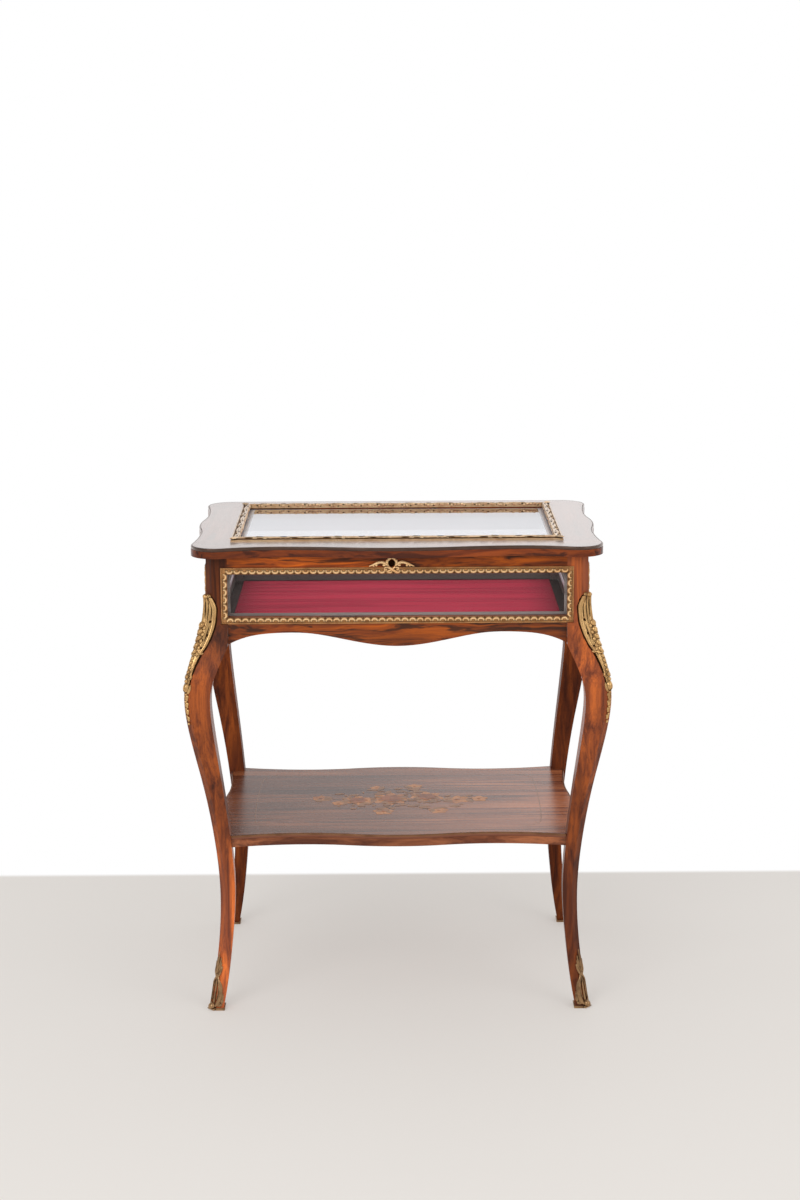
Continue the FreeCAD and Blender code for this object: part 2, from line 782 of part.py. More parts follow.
def hinge_barrels(x, owner):
    """Knuckles of one leaf as rods along X: the case leaf has the even ones, the lid leaf the odd ones."""
    pitch = hinge_length / hinge_knuckles
    start = x - hinge_length / 2
    barrels = []
    for i in range(owner, hinge_knuckles, 2):
        place = V(start + i * pitch + hinge_knuckle_gap / 2, hinge_y, hinge_z)
        barrels.append(rod(hinge_barrel_radius, place, V(1, 0, 0), pitch - hinge_knuckle_gap))
    return barrels


def hinge_leaf(x, owner, low, high, bore):
    """A flat leaf with its knuckles, cleared where the other leaf's knuckles turn."""
    half = hinge_length / 2
    leaf = block(x - half, x + half, half_depth - hinge_leaf_width, hinge_y, low, high)
    for barrel in hinge_barrels(x, 1 - owner):
        box = barrel.BoundBox
        clear = hinge_knuckle_gap
        leaf = leaf.cut(block(box.XMin - clear, box.XMax + clear, box.YMin - clear, hinge_y, low, high))
    for barrel in hinge_barrels(x, owner):
        leaf = leaf.fuse(barrel)
    return leaf.cut(rod(bore, V(x - half, hinge_y, hinge_z), V(1, 0, 0), hinge_length))


def make_hinges():
    """Two butt hinges behind the rear rail, let into the rail and into the lid."""
    case_screws = []
    lid_screws = []
    pins = []
    half = hinge_length / 2
    leaf_front = half_depth - hinge_leaf_width
    pocket = hinge_barrel_radius + hinge_pocket_clear
    for name, x in (("left", -hinge_place), ("right", hinge_place)):
        lower = hinge_leaf(x, 0, case_top - hinge_leaf_thick, case_top, hinge_pin_radius)
        running_bore = hinge_pin_radius + hinge_running_clear
        upper = hinge_leaf(x, 1, lid_under, lid_under + hinge_leaf_thick, running_bore)
        rail_seat = block(x - half, x + half, leaf_front, half_depth, case_top - hinge_leaf_thick, case_top)
        lid_seat = block(x - half, x + half, leaf_front, hinge_y, lid_under, lid_under + hinge_leaf_thick)
        knuckle_seat = block(x - half - hinge_pocket_clear, x + half + hinge_pocket_clear, hinge_y - pocket,
                             hinge_y + pocket, lid_under, hinge_z + pocket)
        nodes["top_rail_rear"] = nodes["top_rail_rear"].cut(rail_seat)
        nodes["lid_rear_rail"] = nodes["lid_rear_rail"].cut(lid_seat).cut(knuckle_seat)
        for shift in (-hinge_screw_spread / 2, hinge_screw_spread / 2):
            seat = half_depth - hinge_screw_inset
            down_screw = screw(V(x + shift, seat, case_top), V(0, 0, -1), screw_length)
            up_screw = screw(V(x + shift, seat, lid_under), up, lid_screw_length)
            lower = lower.cut(down_screw)
            upper = upper.cut(up_screw)
            nodes["top_rail_rear"] = nodes["top_rail_rear"].cut(down_screw)
            nodes["lid_rear_rail"] = nodes["lid_rear_rail"].cut(up_screw)
            case_screws.append(down_screw)
            lid_screws.append(up_screw)
        nodes["hinge_case_leaf_" + name] = largest(lower)
        nodes["hinge_lid_leaf_" + name] = largest(upper)
        pins.append(rod(hinge_pin_radius, V(x - half, hinge_y, hinge_z), V(1, 0, 0), hinge_length))
    nodes["hinge_pins"] = Part.Compound(pins)
    return case_screws, lid_screws


def build():
    make_case_sides()
    make_floor()
    make_legs()
    make_shelf()
    make_lid_frame()
    lock_screws, strike_screws = make_lock()
    make_escutcheon()
    case_screws, lid_screws = make_hinges()
    nodes["case_screws"] = Part.Compound(lock_screws + case_screws)
    nodes["lid_screws"] = Part.Compound(strike_screws + lid_screws)


build()
os.makedirs("parts", exist_ok=True)
for node, shape in nodes.items():
    shape.exportStep("parts/%s.step" % node)
    print(node, len(shape.Solids), shape.isValid(), round(shape.Volume))
print(len(nodes), "nodes")
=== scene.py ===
import math
import random

import bpy
from mathutils import Matrix, Vector


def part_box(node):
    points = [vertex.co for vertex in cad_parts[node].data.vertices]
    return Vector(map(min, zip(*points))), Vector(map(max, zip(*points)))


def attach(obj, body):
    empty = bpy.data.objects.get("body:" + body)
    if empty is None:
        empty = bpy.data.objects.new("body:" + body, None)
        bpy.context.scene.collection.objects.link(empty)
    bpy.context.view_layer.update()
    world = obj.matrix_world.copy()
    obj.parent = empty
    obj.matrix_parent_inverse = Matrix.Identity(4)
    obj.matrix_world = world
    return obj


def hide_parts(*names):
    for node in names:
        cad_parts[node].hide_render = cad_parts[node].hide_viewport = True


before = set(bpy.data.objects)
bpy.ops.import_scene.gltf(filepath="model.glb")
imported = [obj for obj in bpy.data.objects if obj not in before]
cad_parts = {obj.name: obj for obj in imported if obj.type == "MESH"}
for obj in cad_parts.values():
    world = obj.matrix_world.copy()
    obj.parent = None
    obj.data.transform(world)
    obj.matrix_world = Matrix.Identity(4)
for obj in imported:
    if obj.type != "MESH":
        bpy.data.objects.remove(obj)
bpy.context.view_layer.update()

bl_info = {
    "name": "Display table",
    "version": (1, 0, 0),
    "blender": (4, 5, 0),
    "location": "3D View > Sidebar > Display table",
    "description": "Finishes, gilt mounts, velvet bed and stage of a glazed display table",
    "category": "Add Mesh",
}

MM = 0.001
UP = Vector((0, 0, 1))
# Highest brightness that a list of tones can hold
BRIGHTEST = 2.6
# Pale colour painted where polished wood and metal are looked at flatly: a painted reflection of the wall
PAINTED_REFLECTION = (0.9, 0.84, 0.82)
# Heights between which the lining of the case's inner faces sets in
LINING_LOW = 604 * MM
LINING_HIGH = 608 * MM
# Softness of the edges between two colours of one finish
SOFT = 0.3 * MM
# Vertices nearer than this are merged
DOUBLES = 0.002 * MM
# Ways to the table's corners and sides, as signs of X and Y
CORNERS = {"front_left": (-1, -1), "front_right": (1, -1), "rear_right": (1, 1), "rear_left": (-1, 1)}
FACINGS = {"front": (0, -1), "right": (1, 0), "rear": (0, 1), "left": (-1, 0)}


def mm(x, y, z):
    """A place given in millimetres."""
    return Vector((x, y, z)) * MM


def srgb(red, green, blue):
    """Linear colour from the 0 to 255 numbers of a screen colour."""
    shares = [channel / 255 for channel in (red, green, blue)]
    return tuple(s / 12.92 if s <= 0.04045 else ((s + 0.055) / 1.055) ** 2.4 for s in shares)


def colour(name, red, green, blue):
    return bpy.props.FloatVectorProperty(name=name, description=name + " colour", subtype="COLOR",
                                         size=3, min=0, max=1, default=srgb(red, green, blue))


def size(name, description, millimetres):
    return bpy.props.FloatProperty(name=name, description=description, unit="LENGTH",
                                   default=millimetres * MM)


def number(name, description, value):
    return bpy.props.FloatProperty(name=name, description=description, default=value)


def angle(name, description, degrees):
    return bpy.props.FloatProperty(name=name, description=description, subtype="ANGLE",
                                   default=math.radians(degrees))


class TableColours(bpy.types.PropertyGroup):
    """Colours of the table's finishes"""
    rosewood_light: colour("Rosewood, light figure", 216, 104, 20)
    rosewood_mid: colour("Rosewood, ground", 160, 72, 22)
    rosewood_dark: colour("Rosewood, dark streak", 50, 26, 14)
    leg_light: colour("Leg, light figure", 164, 84, 38)
    leg_mid: colour("Leg, ground", 120, 60, 34)
    leg_dark: colour("Leg, dark streak", 66, 34, 26)
    lid_light: colour("Lid edge, light figure", 164, 78, 32)
    lid_mid: colour("Lid edge, ground", 128, 58, 28)
    lid_dark: colour("Lid edge, dark streak", 66, 32, 22)
    shelf_light: colour("Shelf, light figure", 168, 102, 66)
    shelf_mid: colour("Shelf, ground", 122, 68, 44)
    shelf_dark: colour("Shelf, dark streak", 70, 36, 26)
    gilt: colour("Gilt", 242, 206, 160)
    gilt_worn: colour("Gilt, worn", 196, 154, 112)
    # Painted shade: the colour of the gilt's recesses and of the dark pieces of painted shade
    gilt_recess_shade: colour("Gilt, recesses", 62, 38, 20)
    # Painted shade in the recesses of the window frames
    frame_recess_shade: colour("Gilt, patinated ground", 112, 78, 44)
    # Brighter gilt of the egg mouldings' cups and darts and of the keyhole bow, which also stands in for
    # their highlights
    frame_gilt: colour("Window frames", 255, 214, 158)
    frame_worn: colour("Window frames, worn", 240, 184, 122)
    frame_ground: colour("Window frames, ground", 196, 142, 90)
    frame_shade: colour("Window frames, worn ground", 146, 102, 64)
    # Painted shade in sunk places: the notches of the egg mouldings and the dark line of the lid moulding
    pit_shade: colour("Gilt, sunk places", 122, 82, 46)
    line: colour("Shelf's brass line", 152, 108, 80)
    knee: colour("Knee mounts", 222, 178, 118)
    knee_worn: colour("Knee mounts, worn", 168, 124, 78)
    shoe: colour("Foot mounts", 176, 138, 98)
    shoe_worn: colour("Foot mounts, worn", 98, 72, 50)
    bronze: colour("Edge band", 104, 84, 74)
    brass: colour("Lock and hinge brass", 196, 160, 96)
    steel: colour("Lock steel", 150, 148, 145)
    velvet: colour("Velvet", 240, 68, 98)
    velvet_shade: colour("Velvet, against the nap", 190, 46, 72)
    glass: colour("Glass reflection", 240, 243, 248)
    pine: colour("Pine", 196, 158, 108)
    dark_wood: colour("Inner wood", 66, 44, 36)
    lining: colour("Faces inside the case", 118, 108, 104)
    bead: colour("Glazing beads", 168, 158, 154)
    floor: colour("Floor", 240, 236, 231)


class GiltSizes(bpy.types.PropertyGroup):
    """Repeats and reliefs of the gilt work"""
    egg_pitch: size("Egg pitch", "Distance between the eggs of the window mouldings", 11.8)
    pearl_pitch: size("Pearl pitch", "Distance between the pearls beside the eggs", 3.4)
    leaf_pitch: size("Leaf pitch", "Distance between the leaf groups of the lid moulding", 112.0)
    knee_relief: size("Knee relief", "How far the spine of the knee mounts stands out of the legs", 9.5)


class StageSizes(bpy.types.PropertyGroup):
    """Camera and light"""
    distance: size("Camera distance", "How far the camera stands in front of the table's middle", 3700.0)
    height: size("Camera height", "Height of the camera above the floor", 1410.0)
    offset: size("Camera offset", "How far the camera stands to the right of the middle", -8.6)
    tilt: angle("Camera tilt", "How far the camera looks down", 12.03)
    roll: angle("Camera roll", "Turn of the camera about its own line of sight", 0.29)
    turn: angle("Camera turn", "Turn of the camera to the left", -0.27)
    lens: bpy.props.FloatProperty(name="Lens", description="Focal length", subtype="DISTANCE_CAMERA",
                                  default=69.8)
    floor_depth: size("Floor depth", "How far the shaded floor runs behind the table's middle", 458.0)
    room: number("Room", "Brightness of the reflected room in front", 0.35)
    dim: number("Dim", "Brightness of the reflected wall high on the left", 0.36)
    sky: number("Sky", "Strength of the even light", 0.7)
    key: number("Key", "Strength of the soft key light", 48.0)


class Reading:
    """A value that varies over a surface. Arithmetic on it adds Math nodes to its finish."""

    def __init__(self, finish, socket):
        self.finish = finish
        self.socket = socket

    def math(self, operation, *values):
        return self.finish.node("ShaderNodeMath", {"operation": operation}, dict(enumerate(values)))

    def __add__(self, other):
        return self.math("ADD", self, other)

    def __sub__(self, other):
        return self.math("SUBTRACT", self, other)

    def __rsub__(self, other):
        return self.math("SUBTRACT", other, self)

    def __mul__(self, other):
        return self.math("MULTIPLY", self, other)

    def __pow__(self, other):
        return self.math("POWER", self, other)

    __radd__ = __add__
    __rmul__ = __mul__

    def step(self, low, high):
        """0 below low, 1 above high, smooth between."""
        return self.finish.node("ShaderNodeMapRange", {"interpolation_type": "SMOOTHSTEP"},
                                {"Value": self, "From Min": low, "From Max": high})


class Nodes:
    """A node tree being filled."""

    def __init__(self, tree):
        self.tree = tree

    def node(self, kind, settings=None, values=None, out=0):
        """Adds a node, its settings first and then the values or links of its sockets."""
        node = self.tree.nodes.new(kind)
        for name, setting in (settings or {}).items():
            if name == "stops":
                self.set_stops(node.color_ramp, setting)
            else:
                setattr(node, name, setting)
        for name, value in (values or {}).items():
            self.put(node.inputs[name], value)
        return Reading(self, node.outputs[out])

    def set_stops(self, ramp, stops):
        while len(ramp.elements) < len(stops):
            ramp.elements.new(1.0)
        for element, (place, shade) in zip(ramp.elements, stops):
            element.position = place
            element.color = (*shade, 1.0)

    def put(self, socket, value):
        if isinstance(value, Reading):
            self.tree.links.new(value.socket, socket)
        elif socket.type == "RGBA" and len(value) == 3:
            socket.default_value = (*value, 1.0)
        else:
            socket.default_value = value

    def place(self, scale=(1, 1, 1), offset=(0, 0, 0)):
        """The place on the object, in metres, stretched by scale."""
        spot = self.node("ShaderNodeTexCoord", out="Object")
        return self.node("ShaderNodeMapping", {}, {"Vector": spot, "Scale": scale, "Location": offset})

    def noise(self, vector, scale=1.0, detail=3.0, roughness=0.5, distortion=0.0):
        return self.node("ShaderNodeTexNoise", {}, {"Vector": vector, "Scale": scale, "Detail": detail,
                                                    "Roughness": roughness, "Distortion": distortion})

    def mix(self, share, first, second, blend="MIX"):
        settings = {"data_type": "RGBA", "blend_type": blend}
        return self.node("ShaderNodeMix", settings, {0: share, 6: first, 7: second}, out=2)

    def multiply(self, first, second):
        return self.mix(1.0, first, second, "MULTIPLY")

    def along(self, axis):
        """The place along one axis of the object, in metres."""
        return self.node("ShaderNodeSeparateXYZ", {}, {0: self.place()}, out=axis)

    def toned(self, base, axis, stops):
        """A colour made lighter and darker along an axis. Stops are millimetres and brightnesses."""
        start = stops[0][0]
        span = stops[-1][0] - start
        shades = [((place - start) / span, (bright / BRIGHTEST,) * 3) for place, bright in stops]
        share = self.along(axis) * (1 / span / MM) - start / span
        tone = self.node("ShaderNodeValToRGB", {"stops": shades}, {"Fac": share})
        return self.multiply(self.multiply(base, tone), (BRIGHTEST,) * 3)

    def looks(self, way):
        """How much a face looks along a way of the object: 1 for straight along it."""
        normal = self.node("ShaderNodeTexCoord", out="Normal")
        product = {"operation": "DOT_PRODUCT"}
        return self.node("ShaderNodeVectorMath", product, {0: normal, 1: way}, out="Value")

    def flatness(self):
        """1 where a face is looked at along itself, 0 where it is looked at straight on."""
        return self.node("ShaderNodeLayerWeight", {}, {"Blend": 0.5}, out="Facing")

    def shift(self, vector, amount):
        """Moves a place by a varying amount, the same along each axis."""
        return self.node("ShaderNodeVectorMath", {"operation": "ADD"}, {0: vector, 1: amount})

    def bump(self, height, distance, strength):
        values = {"Height": height, "Distance": distance, "Strength": strength}
        return self.node("ShaderNodeBump", {}, values)

    def seen(self):
        """1 for what the camera sees, straight or by reflection and through glass."""
        rays = ("Is Camera Ray", "Is Glossy Ray", "Is Transmission Ray")
        camera, glossy, through = [self.node("ShaderNodeLightPath", out=ray) for ray in rays]
        return camera.math("MAXIMUM", camera.math("MAXIMUM", camera, glossy), through)


class Finish(Nodes):
    """A material being made, with its Principled shader."""

    def __init__(self, name):
        self.material = bpy.data.materials.new(name)
        self.material.use_nodes = True
        self.shader = self.material.node_tree.nodes["Principled BSDF"]
        super().__init__(self.material.node_tree)

    def feed(self, **values):
        """Sets or links the shader's sockets: base_color for Base Color, and so on."""
        for name, value in values.items():
            words = name.replace("_", " ").title().replace("Ior", "IOR")
            self.put(self.shader.inputs[words], value)
        return self.material


# Finishes


def stretched(axis, along, across):
    """Scale of a pattern that is drawn out along one axis: 0 for X, 1 for Y, 2 for Z."""
    scale = [across] * 3
    scale[axis] = along
    return tuple(scale)


def veneer(name, axis, woods, gloss=0.3, polish=0.0, shine=0.2, streaks=0.85, cloud=(3.0, 8.0),
           offset=(0, 0, 0), drawn=1.0, tones=None, lining=None, inward=None):
    """Polished figured rosewood: light, middle and dark woods with the grain along one axis.

    Drawn tells how much longer the figure is than on the rails. Polish is how strongly a pale painted
    reflection of the wall is laid on the upper face, and made metallic there, where it is looked at flatly.
    Tones are an axis and brightnesses along it. Lining is the colour of the faces inside the case, which look
    inward.
    """
    light, mid, dark = woods
    finish = Finish(name)

    def grain(along, across, *settings, stray=None):
        """Noise drawn out along the grain. A stray value makes it wander."""
        place = finish.place(stretched(axis, along, across), offset)
        if stray:
            place = finish.shift(place, stray)
        return finish.noise(place, 1.0, *settings)

    wander = grain(5.0 / drawn, 16.0, 2.0)
    figure = grain(3.6 / drawn, 80.0, 5.0, 0.68, 0.6, stray=wander * 3.6)
    streak = grain(8.0 / drawn, 92.0, 5.0, 0.62, 0.4, stray=wander * 3.4 + 7.0).step(0.52, 0.62)
    shadow = grain(*cloud, 2.0).step(0.4, 0.62)
    lines = grain(6.0 / drawn, 420.0, 3.0, 0.6)
    pores = grain(60.0, 1500.0, 1.0).step(0.6, 0.72)
    ramp = finish.node("ShaderNodeValToRGB", {"stops": [(0.3, dark), (0.43, mid), (0.6, light)]},
                       {"Fac": figure})
    clouded = finish.mix(shadow * 0.5, ramp, dark)
    shaded = finish.mix(streak * streaks, clouded, dark)
    lined = finish.mix(lines.step(0.5, 0.72) * 0.34, shaded, dark)
    base = finish.mix(pores * 0.3, lined, tuple(channel * 0.45 for channel in dark))
    if tones:
        base = finish.toned(base, *tones)
    if lining:
        inward_face = finish.looks((*inward, 0)).step(0.5, 0.68)
        base = finish.mix(inward_face * finish.along("Z").step(LINING_LOW, LINING_HIGH), base, lining)
    if polish:
        # Painted reflection: pale and metallic on upward faces that are looked at flatly
        painted_reflection_share = finish.looks((0, 0, 1)).step(0.6, 0.95) * finish.flatness() ** 1.9 * polish
        base = finish.mix(painted_reflection_share, base, PAINTED_REFLECTION)
        finish.feed(metallic=painted_reflection_share)
    height = lines * 0.6 - pores
    return finish.feed(base_color=base, roughness=gloss + lines * 0.1 + pores * 0.08,
                       specular_ior_level=shine, normal=finish.bump(height, 0.00006, 0.5))


def plain_wood(name, axis, light, dark, painted_glint=None, edge=0.0):
    """Unpolished secondary wood. A painted highlight, a pale line, shows nearer to the middle than edge."""
    finish = Finish(name)
    rings = finish.noise(finish.place(stretched(axis, 3.0, 60.0)), 1.0, 4.0, 0.6, 0.4)
    fibre = finish.noise(finish.place(stretched(axis, 40.0, 900.0)), 1.0, 2.0)
    base = finish.mix(rings.step(0.35, 0.68) * 0.8 + fibre * 0.2, light, dark)
    # Painted highlight: a pale line along the inner edge of the side beads
    if painted_glint:
        aside = finish.along("X")
        base = finish.mix(1 - aside.math("ABSOLUTE", aside).step(edge, edge + SOFT), base, painted_glint)
    return finish.feed(base_color=base, roughness=0.62 + fibre * 0.15,
                       normal=finish.bump(fibre, 0.0002, 0.4))


def gilding(name, bright, worn, recess_shade, painted_glare=0.0, bare=0.4):
    """Cast and gilt brass: bright on the high places, worn in patches, with painted shade that darkens the
    recesses, found by ambient occlusion.

    painted_glare is how strongly a pale painted reflection is laid on where it is looked at flatly. Bare is
    how mirror-like the recesses are.
    """
    finish = Finish(name)
    # Painted shade: ambient occlusion darkens the recesses towards the colour of the recesses
    open_sky = finish.node("ShaderNodeAmbientOcclusion", {"samples": 8, "only_local": True},
                           {"Distance": 0.005}, out="AO").step(0.3, 0.92)
    spot = finish.place()
    patches = finish.noise(spot, 60.0, 4.0, 0.6).step(0.42, 0.68)
    grit = finish.noise(spot, 900.0, 2.0)
    metal = finish.mix(patches * 0.75, bright, worn)
    # Painted reflection: pale where the gilt is looked at flatly
    if painted_glare:
        metal = finish.mix(finish.flatness() ** 2.0 * painted_glare, metal, PAINTED_REFLECTION)
    base = finish.mix(open_sky, recess_shade, metal)
    rough = 0.24 + patches * 0.14 + grit * 0.08 + (1 - open_sky) * 0.22
    return finish.feed(base_color=base, metallic=bare + open_sky * 0.35, roughness=rough,
                       normal=finish.bump(grit, 0.0002, 0.35))


def plain_metal(name, shade, rough, brushed=2, painted_glare=0.0, wood=None, line=0.0):
    """Brass, bronze or steel with fine wear along one axis and a little tarnish.

    painted_glare is how strongly a pale painted reflection is laid on where it is looked at flatly. A wood's
    colour shows below the height of line.
    """
    finish = Finish(name)
    tarnish = finish.noise(finish.place(), 45.0, 4.0, 0.6).step(0.4, 0.75)
    scratches = finish.noise(finish.place(stretched(brushed, 1400.0, 60.0)), 1.0, 2.0)
    base = finish.mix(tarnish * 0.55, shade, tuple(channel * 0.5 for channel in shade))
    # Painted reflection: pale where the metal is looked at flatly
    base = finish.mix(finish.flatness() ** 2.5 * painted_glare, base, PAINTED_REFLECTION)
    metal = 1.0
    if wood:
        metal = finish.along("Z").step(line - SOFT, line + SOFT)
        base = finish.mix(metal, wood, base)
    return finish.feed(base_color=base, metallic=metal,
                       roughness=rough + tarnish * 0.15 + scratches * 0.08,
                       normal=finish.bump(scratches, 0.0001, 0.3))


def pane_glass(name, tint, steepness, bevelled=0.0):
    """Clear plate glass: it shows the room more, the flatter it is looked at. Its bevelled rim is a painted
    highlight: less metallic and rougher there, so that its pale tint shows.
    """
    finish = Finish(name)
    smears = finish.noise(finish.place(), 9.0, 3.0).step(0.45, 0.8)
    # Painted highlight on the bevelled rim, wherever the face does not look straight up
    bevel_highlight = (1 - finish.looks((0, 0, 1)).step(0.995, 0.998)) * bevelled
    finish.material.surface_render_method = "BLENDED"
    return finish.feed(base_color=tint, metallic=1 - bevel_highlight, roughness=0.015 + smears * 0.02 + bevel_highlight * 0.4,
                       alpha=0.012 + finish.flatness() ** steepness * 0.97)


def velvet_cloth(name, pile, shade):
    """Velvet: long brushed marks along X and a sheen, with painted shade towards its left and right ends."""
    finish = Finish(name)
    marks = finish.noise(finish.place((2.6, 44.0, 1.0)), 1.0, 4.0, 0.62, 0.6)
    clouds = finish.noise(finish.place(), 9.0, 3.0)
    tufts = finish.noise(finish.place(), 2600.0, 1.0)
    base = finish.mix(marks.step(0.34, 0.64) * 0.7 + clouds * 0.3, shade, pile)
    # Painted shade of the case's sides, darkening the velvet towards its ends
    aside = finish.along("X")
    ends = aside.math("ABSOLUTE", aside).step(0.2, 0.275)
    base = finish.mix(ends * 0.7, base, tuple(channel * 0.4 for channel in shade))
    base = finish.mix(tufts * 0.25, base, shade)
    return finish.feed(base_color=base, roughness=0.9, specular_ior_level=0.1, sheen_weight=0.1,
                       sheen_roughness=0.4, sheen_tint=(0.9, 0.4, 0.5),
                       normal=finish.bump(tufts + marks * 2.0, 0.0004, 0.5))


# Modelling by hand


def deselect():
    bpy.ops.object.select_all(action="DESELECT")


def select(*pieces):
    deselect()
    for piece in pieces:
        piece.select_set(True)
    bpy.context.view_layer.objects.active = pieces[0]


def added(operator, **settings):
    """The object that an operator adds."""
    deselect()
    operator(**settings)
    return bpy.context.object


def edit(piece, *steps):
    """Runs edit-mode operators on all of a piece. A step is an operator and its settings."""
    select(piece)
    bpy.ops.object.mode_set(mode="EDIT")
    bpy.ops.mesh.select_all(action="SELECT")
    for operator, settings in steps:
        operator(**settings)
    bpy.ops.object.mode_set(mode="OBJECT")


def close_up(piece):
    """Merges doubles and turns the faces outwards."""
    edit(piece, (bpy.ops.mesh.remove_doubles, {"threshold": DOUBLES}),
         (bpy.ops.mesh.normals_make_consistent, {"inside": False}))


def modify(piece, kind, **settings):
    select(piece)
    bpy.ops.object.modifier_add(type=kind)
    modifier = piece.modifiers[-1]
    for name, value in settings.items():
        setattr(modifier, name, value)
    bpy.ops.object.modifier_apply(modifier=modifier.name)


def moved(piece, *transforms):
    """Moves the mesh itself, the last transform first."""
    for transform in reversed(transforms):
        piece.data.transform(transform)
    return piece


def shift(x=0.0, y=0.0, z=0.0):
    return Matrix.Translation((x, y, z))


def shift_mm(x, y, z=0.0):
    return Matrix.Translation(mm(x, y, z))


def turn(angle_about_z):
    return Matrix.Rotation(angle_about_z, 4, "Z")


def copied(piece):
    select(piece)
    bpy.ops.object.duplicate()
    return bpy.context.object


def remove(piece):
    select(piece)
    bpy.ops.object.delete()


def joined(pieces):
    select(*pieces)
    if len(pieces) > 1:
        bpy.ops.object.join()
    return bpy.context.object


def bevelled(piece, width, segments, smallest_angle):
    """Rounds the edges that turn by more than an angle in degrees. The width is in millimetres."""
    modify(piece, "BEVEL", width=width * MM, segments=segments, limit_method="ANGLE",
           angle_limit=math.radians(smallest_angle))
    return piece


def paint(mesh, material):
    mesh.materials.clear()
    mesh.materials.append(material)


def dressed(piece, finish_name):
    """Gives a whole piece one finish."""
    paint(piece.data, bpy.data.materials[finish_name])
    return piece


def finished(piece, name, body, smooth_angle=40):
    """Names a dressed piece, smooths it and lets it ride on a body."""
    piece.name = name
    piece.data.name = name
    select(piece)
    bpy.ops.object.transform_apply(location=True, rotation=True, scale=True)
    bpy.ops.object.shade_smooth_by_angle(angle=math.radians(smooth_angle))
    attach(piece, body)
    return piece


# Elements of the ornaments, in a flat pattern: X across, Y up, Z out of the ground. Sizes are in millimetres


def ball(place, radii, segments=12, rings=7, lean=0.0):
    """An egg-shaped boss."""
    boss = added(bpy.ops.mesh.primitive_uv_sphere_add, segments=segments, ring_count=rings, radius=1)
    return moved(boss, Matrix.Translation(place), turn(lean), Matrix.Diagonal((*mm(*radii), 1)))


def blade(shape, rows, columns, thick):
    """A leaf, plate or ribbon: shape gives its surface, from 0 to 1 along and -1 to 1 across."""
    sheet = added(bpy.ops.mesh.primitive_grid_add, x_subdivisions=columns, y_subdivisions=rows, size=2)
    for vertex in sheet.data.vertices:
        vertex.co = shape((vertex.co.y + 1) / 2, vertex.co.x)
    close_up(sheet)
    if sheet.data.polygons[0].normal.z < 0:
        edit(sheet, (bpy.ops.mesh.flip_normals, {}))
    modify(sheet, "SOLIDIFY", thickness=thick * MM, offset=-1)
    return sheet


def leaf(length, half_width, crown, lobes=0, curl=0.0, rows=12, columns=6):
    """A leaf that points up the pattern, with a sunk midrib, scalloped sides and a lifted tip."""
    def shape(along, across):
        scallop = 1 + 0.2 * math.cos(math.tau * (lobes * along + 0.5)) if lobes else 1
        width = half_width * math.sin(math.pi * min(1, along ** 0.7 + 0.02)) ** 0.8 * scallop
        swell = math.sin(math.pi * min(1, 0.12 + 0.88 * along) ** 0.9)
        rib = 1 - 0.55 * math.exp(-(across / 0.22) ** 2)
        height = crown * swell * (1 - across ** 2) * rib + curl * along ** 3
        return mm(across * width, along * length, height)
    return blade(shape, rows, columns, 0.8)


def rib(points, radii, sides=3, smooth=4):
    """A round bar along a smooth line, thick and thin as radii say."""
    bar = added(bpy.ops.curve.primitive_nurbs_path_add)
    curve = bar.data
    curve.splines.clear()
    line = curve.splines.new("NURBS")
    line.points.add(len(points) - 1)
    for point, place, radius in zip(line.points, points, radii):
        point.co = (*place, 1)
        point.radius = radius
    line.order_u = 3
    line.use_endpoint_u = True
    line.resolution_u = smooth
    curve.dimensions = "3D"
    curve.bevel_depth = MM
    curve.bevel_resolution = sides
    curve.use_fill_caps = True
    select(bar)
    bpy.ops.object.convert(target="MESH")
    bar = bpy.context.object
    close_up(bar)
    return bar


def even(start, end, count):
    """Evenly spaced numbers."""
    return [start + (end - start) * i / (count - 1) for i in range(count)]


def strand(points, radii, proud, *settings):
    """A round bar along a line of the pattern, all at one height."""
    return rib([mm(x, y, proud) for x, y in points], radii, *settings)


def volute(centre, radius, turns, thick, start, way):
    """A spiral that winds in to its eye."""
    shares = even(0, 1, 14)
    points = []
    for share in shares:
        reach = radius * (1 - 0.82 * share)
        angle_here = start + way * math.tau * turns * share
        points.append(centre + mm(reach * math.cos(angle_here), reach * math.sin(angle_here), 0))
    spiral = rib(points, [thick * (1 - 0.45 * share) for share in shares])
    return [spiral, ball(centre, (1.25 * thick,) * 3, 10, 6)]


def mirrored(pieces):
    """The pieces and their mirror images across the pattern's middle."""
    images = []
    for piece in pieces:
        image = moved(copied(piece), Matrix.Diagonal((-1, 1, 1, 1)))
        edit(image, (bpy.ops.mesh.flip_normals, {}))
        images.append(image)
    return pieces + images


# Stage


